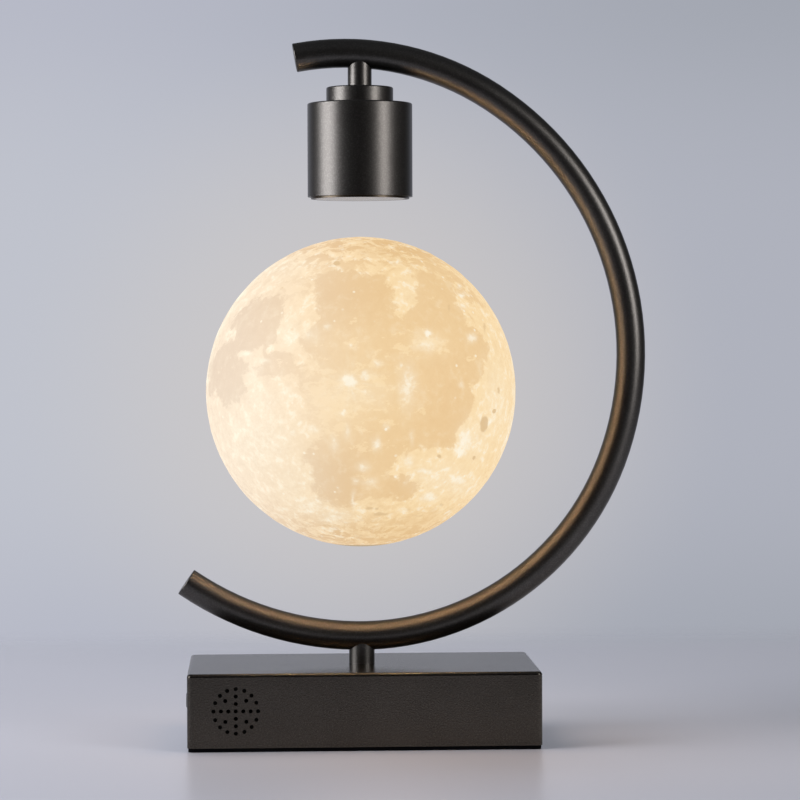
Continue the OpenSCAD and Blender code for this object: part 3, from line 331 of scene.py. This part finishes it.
# Places of directions on the face's disc: x right, z up and how far a point faces the camera
def facePlace(way):
    turn, lean = math.radians(moonMap["turn"]), math.radians(moonMap["lean"])
    ahead = np.array([math.sin(turn), math.cos(turn), 0])
    x = way @ np.array([math.cos(turn), -math.sin(turn), 0])
    z = way @ (ahead * math.sin(lean) + np.array([0, 0, math.cos(lean)]))
    return x, z, -(way @ (ahead * math.cos(lean) - np.array([0, 0, math.sin(lean)])))


# The same places shifted by noise, so that round marks get uneven edges
def brokenPlace(way, shift, scale, octaves, seedX, seedZ):
    x, z, toward = facePlace(way)
    x = x + shift * roughNoise(way * scale, octaves, seedX)
    return x, z + shift * roughNoise(way * scale, octaves, seedZ), toward


# A bell curve on the disc: exp(-((x - cx) / halfX)^2 - ((z - cz) / halfZ)^2)
def bell(x, z, cx, cz, halfX, halfZ):
    return np.exp(-((x - cx) / halfX) ** 2 - ((z - cz) / halfZ) ** 2)


# Noise about a mean, kept between 0 and 2
def uneven(way, mean, spread, scale, octaves, seed):
    return np.clip(mean + spread * roughNoise(way * scale, octaves, seed), 0, 2)


# Distance to a closed outline on the disc, positive inside: the nearest of its sides, and an
# even-odd count of the sides that lie to the right of a point.
def outlineDepth(x, z, outline):
    ends = np.array(outline)
    nearest = np.full(len(x), np.inf)
    inside = np.zeros(len(x), bool)
    for (ax, az), (bx, bz) in zip(ends, np.roll(ends, -1, axis=0)):
        ex, ez = bx - ax, bz - az
        t = np.clip(((x - ax) * ex + (z - az) * ez) / (ex * ex + ez * ez), 0, 1)
        nearest = np.minimum(nearest, np.hypot(x - ax - t * ex, z - az - t * ez))
        crossed = (az > z) != (bz > z)
        inside ^= crossed & (x < ax + (z - az) * ex / np.where(crossed, ez, 1))
    return np.where(inside, nearest, -nearest)


# Depth inside the nearest shore, and the darkness of that sea: a mean that favours the deepest.
# The far side has seas where a slow noise is high.
def seaField(way):
    x, z, toward = facePlace(way)
    back, reach = moonMap["farSeas"], moonMap["shoreReach"]
    tones = np.array([tone for tone, shore in moonMap["seas"].values()])
    depths = np.array([outlineDepth(x, z, shore) for tone, shore in moonMap["seas"].values()])
    deepest = depths.max(axis=0)
    weights = np.exp((depths - deepest) / moonMap["seaBlend"])
    tone = tones @ weights / weights.sum(axis=0)
    for *mark, change in moonMap["tones"]:
        tone += change * bell(x, z, *mark)
    near = softStep(toward, *moonMap["nearSide"])
    far = back["height"] * roughNoise(way * back["scale"], back["octaves"], back["seed"]) - back["level"]
    depth = far + (np.clip(deepest, -reach, reach) - far) * near
    return np.clip(depth, -reach, reach), back["tone"] + (tone - back["tone"]) * near


# Bright spots fall off as a bell curve. A ray is a bell across its heading that fades along it.
# Two broken strips of painted highlight follow the limb, on the upper left and on the right.
def spotsRaysAndLimbHighlightField(way):
    x, z, toward = brokenPlace(way, *moonMap["spotEdges"])
    total = np.zeros(len(way))
    for *mark, strength in moonMap["spots"]:
        total = np.maximum(total, strength * bell(x, z, *mark))
    streak = uneven(way, *moonMap["rayStreaks"])
    narrow, spread = moonMap["rayWidth"]
    for cx, cz, length, strength, headings in moonMap["rays"]:
        for heading in headings:
            c, s = math.cos(math.radians(heading)), math.sin(math.radians(heading))
            along = np.clip(c * (x - cx) + s * (z - cz), 0, None)
            across = c * (z - cz) - s * (x - cx)
            width = narrow + spread * along
            total += (along > 0) * strength * streak * np.exp(-(across / width) ** 2 - along / length)
    total = total * softStep(toward, *moonMap["spotsEnd"])
    limb = moonMap["paintedLimbHighlights"]
    # painted highlight along the limb, added to the print's spots and rays
    limbHighlight = np.exp(-((toward - limb["at"]) / limb["half"]) ** 2) * uneven(way, *limb["noise"])
    left, right = limb["left"], limb["right"]
    total += left["strength"] * limbHighlight * softStep(-x, *left["out"]) * softStep(z, *left["up"])
    inBand = softStep(z, *right["up"]) * (1 - softStep(z, *right["end"]))
    return total + right["strength"] * limbHighlight * softStep(x, *right["out"]) * inBand


# Dark crater floors: flat in the middle, exp(-q^2) of the squared distance q
def floorField(way):
    x, z, toward = brokenPlace(way, *moonMap["floorEdges"])
    total = np.zeros(len(way))
    for cx, cz, halfX, halfZ, dark in moonMap["floors"]:
        q = ((x - cx) / halfX) ** 2 + ((z - cz) / halfZ) ** 2
        total = np.maximum(total, dark * np.exp(-q ** 2))
    return total * (toward > 0)


# Relief in metres: each crater is a bowl d*(q^2 - 1) inside its rim, with a bell-shaped rim round it.
# The cube of a random number makes most of the small craters very small.
def moonRelief(way, radius):
    spec = moonSkin
    rng = np.random.default_rng(spec["smallSeed"])
    scale, octaves, seed = spec["roughGrain"]
    height = spec["roughness"] * roughNoise(way * scale, octaves, seed)
    small = rng.normal(size=(spec["smallCraters"], 3))
    small /= np.linalg.norm(small, axis=1)[:, None]
    low, high = spec["smallRadius"]
    reach = low + (high - low) * rng.random(len(small)) ** 3
    places = [(*place, r, spec["smallShare"]) for place, r in zip(small, reach)]
    for up, turn, r in spec["craters"]:
        up, turn = math.radians(up), math.radians(turn)
        places.append((*ballWays(turn, up), r, 1.0))
    for *place, r, share in places:
        cosine = way @ np.array(place)
        size = r * millimetre / radius
        close = cosine > math.cos(spec["craterReach"] * size)
        q = np.arccos(np.clip(cosine[close], -1, 1)) / size
        depth = spec["craterDepth"] * share * min(1, r / spec["fullDepthFrom"])
        bowl = np.where(q < 1, q * q - 1, 0) * depth
        rim = spec["rimHeight"] * share * np.exp(-((q - 1) / spec["rimWidth"]) ** 2)
        height[close] += bowl + rim
    return height


# Directions (cos v sin u, -cos v cos u, sin v): u goes round from the front, v up from the equator
def ballWays(u, v):
    return np.stack([np.cos(v) * np.sin(u), -np.cos(v) * np.cos(u), np.sin(v) + 0 * u], axis=-1)


# The moon: a ball from its top down to the edge of its plug, then back up inside as a thin wall.
# A point is centre + r * direction, and r carries the relief.
def makeMoon():
    low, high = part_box("moon_shell")
    radius = (high.x - low.x) / 2
    centre = np.array([(high.x + low.x) / 2, (high.y + low.y) / 2, high.z - radius])
    u = np.linspace(0, 2 * np.pi, moonSkin["columns"], endpoint=False)[None, :]
    u = u - moonSkin["crowd"] * np.sin(u)
    edge = -math.acos(moonSkin["plugRadius"] / radius)
    v = np.linspace(np.pi / 2, edge, moonSkin["rows"])[:, None]
    v = v - moonSkin["rowCrowd"] * np.sin(2 * v) * np.sin((v - edge) / (np.pi / 2 - edge) * np.pi)
    way = ballWays(u, v)
    flat = way.reshape(-1, 3)
    fade = np.clip((flat[:, 2] - math.sin(edge)) / moonSkin["plugFade"], 0, 1)
    fade = fade * np.clip((1 - flat[:, 2]) / moonSkin["poleFade"], 0, 1)
    reach = radius + moonRelief(flat, radius) * fade
    outer = (flat * reach[:, None]).reshape(way.shape)
    inside = radius - moonSkin["wall"]
    innerEdge = -math.acos(moonSkin["plugRadius"] / inside)
    inner = inside * ballWays(u, np.linspace(innerEdge, np.pi / 2, moonSkin["innerRows"])[:, None])
    piece = skinGrid("moonSkin", np.concatenate([outer, inner]) + centre)
    at = np.empty(len(piece.data.vertices) * 3)
    piece.data.vertices.foreach_get("co", at)
    at = at.reshape(-1, 3) - centre
    at /= np.linalg.norm(at, axis=1)[:, None]
    shore, tone = seaField(at)
    limb = 1 - softStep(facePlace(at)[2], *moonMap["limbStep"])
    values = {
        "shore": shore, "tone": tone, "bright": spotsRaysAndLimbHighlightField(at), "pitFloor": floorField(at), "limb": limb,
    }
    for name, value in values.items():
        layer = piece.data.attributes.new(name, "FLOAT", "POINT")
        layer.data.foreach_set("value", value.astype(np.float32))
    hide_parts("moon_shell")
    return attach(piece, "moon"), centre


moonFinish = {
    # land and sea colours on the left and on the right: their difference is a painted lighting tint, paler
    # and pinker on the left, warmer on the right
    "landPaintedLightLeft": (0.93, 0.775, 0.6), "landPaintedLightRight": (0.98, 0.75, 0.44),
    "seaPaintedLightLeft": (0.755, 0.61, 0.47), "seaPaintedLightRight": (0.835, 0.58, 0.305),
    # the land's colours in its painted shade towards the top and the bottom, on the left and on the right
    "paintedShadeLeft": (0.765, 0.595, 0.44), "paintedShadeRight": (0.8, 0.53, 0.255),
    "brightest": (1.0, 0.91, 0.73), "floor": (0.72, 0.51, 0.28),
    "plugLight": (0.56, 0.43, 0.27), "plugDark": (0.4, 0.29, 0.17), "plugGrain": 0.6,
    "ownLight": 0.91, "surface": 0.1, "rough": 0.62, "shine": 0.25,
    "bump": (0.25, 0.0002), "grainInBump": 0.4, "fineInBump": 0.6,
    # noises: scale, detail, roughness, twist
    "cloud": (190, 6, 0.64, 0.25), "grain": (520, 5, 0.65), "fine": (1100, 3, 0.6),
    "wisps": (125, 6, 0.7, 0.7), "broken": (120, 7, 0.68, 0.5), "isles": (120, 7, 0.66),
    "isleStretch": (1.0, 1.0, 2.0), "cells": 210.0,
    # soft steps: from, to
    "sideStep": (-0.075, 0.02), "wispStep": (0.45, 0.55), "paintedShadeStep": (0.0022, 0.0048),
    "shoreStep": (-0.015, 0.015), "lowStep": (0.036, 0.062), "isleStep": (0.61, 0.65),
    "speckStep": (0.08, 0.2), "speckChance": (0.72, 0.95), "patchStep": (0.52, 0.68),
    "crispStep": (0.22, 0.6), "floorStep": (0.12, 0.55),
    # shares: how far each noise or mark changes the colour
    "plainPaintedShade": 0.05, "shoreBreak": 0.24, "cloudShare": 1.5, "grainShare": 0.5, "limbGrain": 2.6,
    "seaPatch": 0.4, "isleTone": 0.8, "isleSpread": 0.34, "isleShare": 0.6, "landShare": 0.14,
    "speckShare": 0.7, "patchShare": 0.6, "patchInSea": 0.8, "crispBright": 0.8, "crispGrain": 1.1,
    "crispShare": 0.34, "plainGlow": 0.3, "grainGlow": 0.9, "floorShare": 0.85,
}


# Plastic lit from inside: it shines by itself in its colour, and is darker in the light that falls on it
def feedMoon(shader, place, colour, grain):
    spec = moonFinish
    fine = place.noise(*spec["fine"])
    feed(shader, {
        "Base Color": colour.node("ShaderNodeMix", {"data_type": "RGBA", "blend_type": "MULTIPLY"},
                                  {0: 1.0, 6: colour, 7: (spec["surface"],) * 3 + (1.0,)}, 2),
        "Emission Color": colour, "Emission Strength": spec["ownLight"],
        "Roughness": spec["rough"], "Specular IOR Level": spec["shine"],
        "Normal": (grain * spec["grainInBump"] + fine * spec["fineInBump"]).bump(*spec["bump"]),
    })


# Warm print: pale land and browner seas with broken shores and islands, bright spots and rays, dark crater
# floors. Over the print lie painted light and shade: a painted lighting tint, paler and pinker on the left
# and warmer on the right, painted shade that browns the land to the top and the bottom, and painted
# highlights in strips along the limb. A noise has its mean at 0.5.
def moonPrint(name, centre):
    spec = moonFinish
    material, shader, place = startFinish(name)
    cloud, grain, wisps = (place.noise(*spec[key]) for key in ("cloud", "grain", "wisps"))
    # painted lighting tint: the colours go from paler and pinker on the left to warmer on the right
    side = place.part(0).between(*spec["sideStep"])
    height = place.part(2) - float(centre[2])
    # painted shade: the land browns towards the top and the bottom of the moon, broken by wisps
    wispy = spec["plainPaintedShade"] + wisps.between(*spec["wispStep"]) * (1 - spec["plainPaintedShade"])
    rim = (height * height).between(*spec["paintedShadeStep"]) * wispy
    landWithPaintedLight = side.mix(spec["landPaintedLightLeft"], spec["landPaintedLightRight"])
    land = rim.mix(landWithPaintedLight, side.mix(spec["paintedShadeLeft"], spec["paintedShadeRight"]))
    sea = side.mix(spec["seaPaintedLightLeft"], spec["seaPaintedLightRight"])
    broken = (place.noise(*spec["broken"]) - 0.5) * spec["shoreBreak"]
    inSea = (place.attribute("shore") + broken).between(*spec["shoreStep"])
    low = (0.0 - height).between(*spec["lowStep"])
    patches = ((0.5 - cloud) * (spec["cloudShare"] + low)
               + (0.5 - grain) * (spec["grainShare"] + place.attribute("limb") * spec["limbGrain"] + low))
    drawn = place.node("ShaderNodeMapping", {}, {"Vector": place, "Scale": spec["isleStretch"]})
    tone = place.attribute("tone")
    isles = drawn.noise(*spec["isles"]) + (spec["isleTone"] - tone) * spec["isleSpread"]
    isles = isles.between(*spec["isleStep"]) * spec["isleShare"]
    share = (inSea * (tone + patches * spec["seaPatch"]) * (1 - isles)
             + (1 - inSea) * (spec["landShare"] + patches))
    colour = share.clamped().mix(land, sea)
    cells = {"Vector": place, "Scale": spec["cells"]}
    middle = place.node("ShaderNodeTexVoronoi", {}, cells)
    chance = place.node("ShaderNodeTexVoronoi", {}, cells, "Color").part(0)
    specks = (1 - middle.between(*spec["speckStep"])) * chance.between(*spec["speckChance"])
    patch = cloud.between(*spec["patchStep"]) * (1 - inSea * spec["patchInSea"])
    # the bright attribute holds the print's spots and rays together with the painted limb highlights
    bright = place.attribute("bright")
    crisp = (bright * spec["crispBright"] + (grain - 0.5) * spec["crispGrain"]).between(*spec["crispStep"])
    glow = (bright * (spec["plainGlow"] + grain * spec["grainGlow"]) + crisp * spec["crispShare"]
            + specks * spec["speckShare"] + patch * spec["patchShare"])
    colour = glow.clamped().mix(colour, spec["brightest"])
    floors = place.attribute("pitFloor").between(*spec["floorStep"]) * spec["floorShare"]
    feedMoon(shader, place, floors.mix(colour, spec["floor"]), grain)
    return material


# The plug's print: the same plastic, browner and with its grain alone
def plugPrint(name):
    spec = moonFinish
    material, shader, place = startFinish(name)
    grain = place.noise(*spec["grain"])
    feedMoon(shader, place, (grain * spec["plugGrain"]).mix(spec["plugLight"], spec["plugDark"]), grain)
    return material


moon, moonCentre = makeMoon()
moon.data.materials.append(moonPrint("moonPrint", moonCentre))
dress(plugPrint("moonPlugPrint"), "moon_plug")
print("moon:", len(moon.data.polygons), "faces")

coats = {
    "bronzeCoat": {"dark": (0.054, 0.051, 0.049), "light": (0.118, 0.113, 0.109), "rough": (0.32, 0.4),
                   "bump": 0.14},
    "bronzeBox": {"dark": (0.056, 0.05, 0.043), "light": (0.16, 0.143, 0.125), "rough": (0.2, 0.27),
                  "bump": 0.6},
    "bronzeRing": {"dark": (0.05, 0.041, 0.032), "light": (0.09, 0.074, 0.058), "rough": (0.3, 0.42),
                   "bump": 0.1},
}
coatGrain = {
    "grain": (1400, 2, 0.6), "cloud": (28, 3), "fleckStep": (0.42, 0.72), "depth": 0.0001,
    "fleckInColour": 0.4, "cloudInColour": 0.4, "cloudInGloss": 0.6, "grainInGloss": 0.4,
}


# Satin metallic coat: a fine grain in its colour, gloss and surface, over slow changes along the piece
def bronzeFinish(name):
    spec = coats[name]
    material, shader, place = startFinish(name)
    grain, cloud = place.noise(*coatGrain["grain"]), place.noise(*coatGrain["cloud"])
    fleck = grain.between(*coatGrain["fleckStep"])
    low, high = spec["rough"]
    tint = fleck * coatGrain["fleckInColour"] + cloud * coatGrain["cloudInColour"]
    gloss = cloud * coatGrain["cloudInGloss"] + grain * coatGrain["grainInGloss"]
    feed(shader, {
        "Base Color": tint.mix(spec["dark"], spec["light"]),
        "Roughness": low + (high - low) * gloss,
        "Metallic": 1.0,
        "Normal": grain.bump(spec["bump"], coatGrain["depth"]),
    })
    return material


dress(bronzeFinish("bronzeCoat"), "arm_tube", "lower_end_plug", "upper_end_plug", "lower_post",
      "upper_post", "head_collar", "head_shell")
dress(bronzeFinish("bronzeBox"), "base_housing")
dress(bronzeFinish("bronzeRing"), "head_ring")
print("bronze coats done")

plainFinishes = {
    # colour a, colour b, metallic, roughness low and high, grain scale, bump, nodes
    "footFoam": ((0.0015, 0.0015, 0.002), (0.004, 0.004, 0.0045), 0, (0.75, 0.95), 1500, 0.6,
                 ("foot_pad",)),
    "gasketFoam": ((0.008, 0.008, 0.009), (0.02, 0.02, 0.02), 0, (0.8, 0.95), 1800, 0.5,
                   ("speaker_gasket",)),
    "buttonPlastic": ((0.01, 0.01, 0.011), (0.018, 0.018, 0.019), 0, (0.4, 0.55), 2600, 0.15,
                      ("power_button", "button_switch", "power_inlet", "board_components", "hall_sensor")),
    "cableJacket": ((0.01, 0.01, 0.011), (0.018, 0.018, 0.018), 0, (0.5, 0.6), 1200, 0.1,
                    ("arm_cable",)),
    "coverPlastic": ((0.17, 0.19, 0.225), (0.205, 0.225, 0.26), 0, (0.12, 0.2), 900, 0.03,
                     ("head_cover",)),
    "creamPlastic": ((0.66, 0.63, 0.55), (0.76, 0.73, 0.65), 0, (0.4, 0.5), 900, 0.1,
                     ("head_connector", "coil_bobbin", "switch_plunger", "magnet_holder")),
    "zincSteel": ((0.46, 0.47, 0.49), (0.62, 0.62, 0.63), 1, (0.28, 0.45), 700, 0.1,
                  ("base_plate", "base_screws", "button_screws", "board_screws", "post_nipples",
                   "post_washers", "post_nuts", "core_plate", "ballast_plate")),
    "turnedIron": ((0.24, 0.24, 0.25), (0.36, 0.36, 0.36), 1, (0.35, 0.5), 900, 0.15, ("iron_core",)),
    "ferriteBlock": ((0.03, 0.03, 0.033), (0.07, 0.07, 0.072), 0.3, (0.5, 0.7), 1400, 0.3,
                     ("speaker_magnet",)),
    "pressedSteel": ((0.07, 0.07, 0.077), (0.13, 0.13, 0.14), 0.6, (0.35, 0.5), 1000, 0.1,
                     ("speaker_frame",)),
    "conePaper": ((0.012, 0.011, 0.011), (0.035, 0.032, 0.03), 0, (0.7, 0.9), 2200, 0.5,
                  ("speaker_cone",)),
    "turnedBrass": ((0.5, 0.34, 0.12), (0.66, 0.47, 0.19), 1, (0.25, 0.4), 900, 0.1, ("board_standoffs",)),
    "copperWire": ((0.42, 0.14, 0.045), (0.62, 0.24, 0.09), 0.8, (0.3, 0.45), 1600, 0.5,
                   ("coil_winding", "transmit_coil", "receive_coil")),
    "greenBoard": ((0.012, 0.09, 0.035), (0.025, 0.14, 0.06), 0, (0.35, 0.5), 1300, 0.15,
                   ("control_board", "button_board", "sensor_board")),
    "whiteBoard": ((0.78, 0.78, 0.76), (0.86, 0.86, 0.84), 0, (0.35, 0.45), 900, 0.05, ("led_board",)),
    "lightLens": ((0.85, 0.6, 0.2), (0.95, 0.74, 0.34), 0, (0.2, 0.3), 900, 0.05, ("leds",)),
    "nickelPlate": ((0.62, 0.61, 0.59), (0.72, 0.71, 0.69), 1, (0.15, 0.25), 800, 0.05, ("moon_magnet",)),
}
plainGrain = {
    "detail": (3, 0.6), "cloud": (40, 2), "depth": 0.0001, "grainInColour": 0.6, "cloudInColour": 0.4,
}
dullest = {"footFoam": 0.01}  # specular level of a finish that shows no gloss


# A plain finish with a grain in its colour, gloss and surface
def plainFinish(name):
    first, second, metal, rough, scale, bump, names = plainFinishes[name]
    material, shader, place = startFinish(name)
    grain, cloud = place.noise(scale, *plainGrain["detail"]), place.noise(*plainGrain["cloud"])
    tint = grain * plainGrain["grainInColour"] + cloud * plainGrain["cloudInColour"]
    feed(shader, {
        "Base Color": tint.mix(first, second),
        "Roughness": rough[0] + (rough[1] - rough[0]) * grain,
        "Metallic": float(metal),
        "Normal": grain.bump(bump, plainGrain["depth"]),
    })
    if name in dullest:
        feed(shader, {"Specular IOR Level": dullest[name]})
    dress(material, *names)
    return material


finishes = {name: plainFinish(name) for name in plainFinishes}
print("plain finishes:", len(finishes))

inletPin = {
    "radius": 0.00106, "length": 0.0076, "turns": 24, "inset": 0.001,
    # rounded tip: share of the radius, place along the axis
    "tip": [(0, 0.00012), (0.55, 0.00008), (0.9, -0.00012), (1, -0.0004)],
}


# A turned sleeve over the socket's pin: its profile is carried round the pin's axis
def makeInletPin():
    spec = inletPin
    low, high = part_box("power_inlet")
    axis = np.array([(low.x + high.x) / 2, high.y - spec["inset"], (low.z + high.z) / 2])
    profile = np.array(spec["tip"] + [(1, -spec["length"]), (0, -spec["length"])])
    u = np.linspace(0, 2 * np.pi, spec["turns"], endpoint=False)[None, :]
    reach, depth = profile[:, :1] * spec["radius"], profile[:, 1:]
    grid = np.stack([reach * np.cos(u), depth + 0 * u, reach * np.sin(u)], axis=-1)
    piece = skinGrid("inletPin", grid + axis)
    piece.data.materials.append(finishes["nickelPlate"])
    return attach(piece, "stand")


makeInletPin()
print("socket pin done")

floorSet = {
    "left": -0.65, "right": 1.3, "front": -0.9, "back": 0.56, "fade": 0.2, "level": -0.0001,
    # the table's colour, and the darker colour of its painted shadows
    "colour": (0.455, 0.465, 0.535), "dark": (0.325, 0.345, 0.408), "rough": 0.3, "shine": 0.5,
    # painted shadows: share of the dark colour, where each starts and ends along x, and along y
    "paintedShadows": {
        "frontLeft": (0.36, None, (-0.06, 0.02), None, (-0.12, 0.1)),
        "frontRight": (0.22, (0.02, 0.08), None, None, (-0.21, -0.11)),
        "aside": (0.42, (0.07, 0.26), None, (-0.02, 0.1), (0.12, 0.4)),
        "beside": (0.6, (0.03, 0.09), (0.1, 0.2), (0.0, 0.07), (0.09, 0.17)),
    },
    # light that only mirrors see: its colour, the share everywhere, and more to the right and in front
    "inMetal": (0.155, 0.15, 0.14), "liftAll": 0.35,
    "liftRight": 0.65, "rightStep": (0.02, 0.22), "liftFront": 0.25, "frontStep": (-0.25, -0.04),
}


# A satin table that softly mirrors the base. It has painted shadows, a little darker on the front left, at
# the front edge and beside the base, and it fades out at its edges, because the backdrop has no seam.
def makeFloor():
    spec = floorSet
    left, right, front, back, fade = (spec[key] for key in ("left", "right", "front", "back", "fade"))
    mesh = bpy.data.meshes.new("tableTop")
    corners = [(left, front), (right, front), (right, back), (left, back)]
    mesh.from_pydata([(*corner, spec["level"]) for corner in corners], [], [(0, 1, 2, 3)])
    sheet = bpy.data.objects.new("tableTop", mesh)
    bpy.context.scene.collection.objects.link(sheet)
    material, shader, place = startFinish("tablePaper")
    x, y = place.part(0), place.part(1)
    # painted shadow: the dark colour's share in each patch
    paintedShadow = sum(x.band(startX, endX) * y.band(startY, endY) * share
              for share, startX, endX, startY, endY in spec["paintedShadows"].values())
    glossy = place.node("ShaderNodeLightPath", {}, {}, "Is Glossy Ray")
    lift = glossy * (spec["liftAll"] + x.between(*spec["rightStep"]) * spec["liftRight"]
                     + (1 - y.between(*spec["frontStep"])) * spec["liftFront"])
    feed(shader, {
        "Base Color": paintedShadow.mix(spec["colour"], spec["dark"]),
        "Roughness": spec["rough"], "Specular IOR Level": spec["shine"],
        "Emission Color": lift.mix((0, 0, 0), spec["inMetal"]), "Emission Strength": 1.0,
    })
    kept = (x.band((left, left + fade), (right - fade, right))
            * y.band((front, front + fade), (back - fade, back)))
    clear = place.node("ShaderNodeBsdfTransparent")
    tree = place.tree
    output = next(n for n in tree.nodes if n.type == "OUTPUT_MATERIAL")
    joined = place.node("ShaderNodeMixShader", {}, {0: kept, 1: clear, 2: Wire(tree, shader.outputs[0])})
    tree.links.new(joined.socket, output.inputs[0])
    mesh.materials.append(material)
    return sheet


tableTop = makeFloor()

backdrop = {
    "leftEdge": (0.474, 0.491, 0.571), "rightEdge": (0.366, 0.386, 0.44),
    "leftMiddle": (0.527, 0.546, 0.61), "rightMiddle": (0.429, 0.445, 0.508),
    "sideStep": (-0.09, 0.18), "edgeStep": (0.0, 0.012),
    "halo": (0.68, 0.63, 0.58), "haloWay": (0.0337, -0.0204), "haloReach": (0.03, 0.125),
    "haloShare": 0.5, "haloStep": (0.5, 0.9),
    "front": (0.012, 0.012, 0.013), "above": (0.14, 0.145, 0.155), "aboveStep": (0.35, 0.8),
    "right": (0.1, 0.098, 0.096), "rightStep": (0.5, 0.95), "fill": (0.085, 0.088, 0.095),
    "behindStep": (0.5, 0.92), "behindTop": (0.3, 0.7),
}


# The air of the studio by direction: the camera sees a pale backdrop all round, with the moon's warm
# halo on it. Metal sees the backdrop behind the lamp and a dark room in front. The rest is a soft fill.
def makeAir():
    spec = backdrop
    world = bpy.data.worlds.new("studioAir")
    world.use_nodes = True
    tree = world.node_tree
    way = Wire(tree).node("ShaderNodeTexCoord", {}, {}, "Generated")
    x, y, z = way.part(0), way.part(1), way.part(2)
    side = x.between(*spec["sideStep"])
    edge = side.mix(spec["leftEdge"], spec["rightEdge"])
    middle = side.mix(spec["leftMiddle"], spec["rightMiddle"])
    pale = (z * z).between(*spec["edgeStep"]).mix(middle, edge)
    haloX, haloZ = x - spec["haloWay"][0], z - spec["haloWay"][1]
    away = way.node("ShaderNodeMath", {"operation": "SQRT"}, {0: haloX * haloX + haloZ * haloZ})
    halo = (1 - away.between(*spec["haloReach"])) * y.between(*spec["haloStep"])
    pale = (halo * spec["haloShare"]).mix(pale, spec["halo"])
    behind = y.between(*spec["behindStep"]) * (1 - z.between(*spec["behindTop"]))
    room = z.between(*spec["aboveStep"]).mix(spec["front"], spec["above"])
    seen = behind.mix(x.between(*spec["rightStep"]).mix(room, spec["right"]), pale)
    rays = way.node("ShaderNodeLightPath", {}, {}, "Is Camera Ray")
    glossy = way.node("ShaderNodeLightPath", {}, {}, "Is Glossy Ray")
    air = rays.mix(glossy.mix(spec["fill"], seen), pale)
    tree.links.new(air.socket, tree.nodes["Background"].inputs["Color"])
    bpy.context.scene.world = world
    bpy.context.scene.view_settings.view_transform = "Standard"


makeAir()
print("floor and backdrop done")

lamps = {
    # place, aim, width, height, watts, colour, seen in metal
    "leftBox": ((-1.265, -0.3, 0.56), (0, 0, 0.3), 0.86, 1.05, 28.5, (1.0, 0.995, 1.0), True),
    "rightBox": ((1.023, -0.8, 0.55), (0, 0, 0.55), 0.45, 0.7, 10, (1.0, 0.97, 0.94), True),
    "topBox": ((-0.55, 0.6, 1.75), (0, 0, 0), 1.2, 1.2, 15, (0.98, 0.99, 1.0), False),
}
baseShare = 0.3  # of a soft box's watts
moonGlow = {
    "radius": 0.062, "watts": 0.28, "colour": (1.0, 0.62, 0.32), "forward": 0.035,
    "lowerWatts": 0.16, "lowerWay": (0.5, -0.1, -0.86),  # more of it leaves below
    "stoppedBy": ("head_shell", "head_collar", "head_cover", "head_ring", "base_housing"),
}


def addLamp(name, kind, place, watts, colour):
    data = bpy.data.lights.new(name, kind)
    data.energy, data.color = watts, colour
    lamp = bpy.data.objects.new(name, data)
    lamp.location = place
    lamp.visible_camera = False
    bpy.context.scene.collection.objects.link(lamp)
    return lamp


# A collection that a lamp's light links can name
def gather(name, *members):
    group = bpy.data.collections.new(name)
    for member in members:
        group.objects.link(member)
    return group


# Soft boxes, each made three times: for the pieces, for the table, which it leaves without a glare, and
# weaker for the base, whose flat top would mirror it. Then the light that the moon throws on the pieces
# round it. The moon's own wall doesn't stop that light: only the head and the base do.
def makeLamps():
    base = nodes["base_housing"]
    tableAlone, baseAlone = gather("tableAlone", tableTop), gather("baseAlone", base)
    others = gather("others", tableTop, base)
    for entry in others.collection_objects:
        entry.light_linking.link_state = "EXCLUDE"
    for name, (place, aim, width, height, watts, colour, shines) in lamps.items():
        copies = ((name, others, shines, 1), (name + "Table", tableAlone, False, 1),
                  (name + "Base", baseAlone, shines, baseShare))
        for title, lit, inGloss, share in copies:
            lamp = addLamp(title, "AREA", place, watts * share, colour)
            lamp.data.shape = "RECTANGLE"
            lamp.data.size, lamp.data.size_y = width, height
            lamp.rotation_euler = (Vector(aim) - Vector(place)).to_track_quat("-Z", "Y").to_euler()
            lamp.visible_glossy = inGloss
            lamp.light_linking.receiver_collection = lit
    stops = gather("moonGlowStops", *(nodes[name] for name in moonGlow["stoppedBy"]))
    place = Vector(moonCentre) - Vector((0, moonGlow["forward"], 0))
    glow = addLamp("moonGlow", "POINT", place, moonGlow["watts"], moonGlow["colour"])
    lower = addLamp("moonGlowLow", "SPOT", place, moonGlow["lowerWatts"], moonGlow["colour"])
    lower.data.spot_size, lower.data.spot_blend = math.pi, 1.0
    lower.rotation_euler = Vector(moonGlow["lowerWay"]).to_track_quat("-Z", "Y").to_euler()
    for lamp in (glow, lower):
        lamp.data.shadow_soft_size = moonGlow["radius"]
        lamp.data.cycles.use_multiple_importance_sampling = False
        lamp.light_linking.blocker_collection = stops


makeLamps()

shot = {
    "lens": 136.33, "sensor": 36.0, "clip": (0.05, 30),
    "distance": 1.4702, "height": 0.19858, "aside": 0.018976,
    "turn": 2.668, "down": 1.326, "roll": -0.205,  # degrees
}


# The camera stands left of the front, looks a little down and is rolled a little
def makeCamera():
    turn = math.radians(shot["turn"])
    right = Vector((math.cos(turn), -math.sin(turn), 0))
    ahead = Vector((math.sin(turn), math.cos(turn), 0))
    data = bpy.data.cameras.new("shotCamera")
    data.lens, data.sensor_width = shot["lens"], shot["sensor"]
    data.clip_start, data.clip_end = shot["clip"]
    camera = bpy.data.objects.new("shotCamera", data)
    bpy.context.scene.collection.objects.link(camera)
    turned = (Matrix.Rotation(-turn, 4, "Z") @ Matrix.Rotation(math.radians(90 - shot["down"]), 4, "X")
              @ Matrix.Rotation(math.radians(shot["roll"]), 4, "Z"))
    place = right * shot["aside"] - ahead * shot["distance"] + Vector((0, 0, shot["height"]))
    camera.matrix_world = Matrix.Translation(place) @ turned
    bpy.context.scene.camera = camera


makeCamera()
print("camera done")
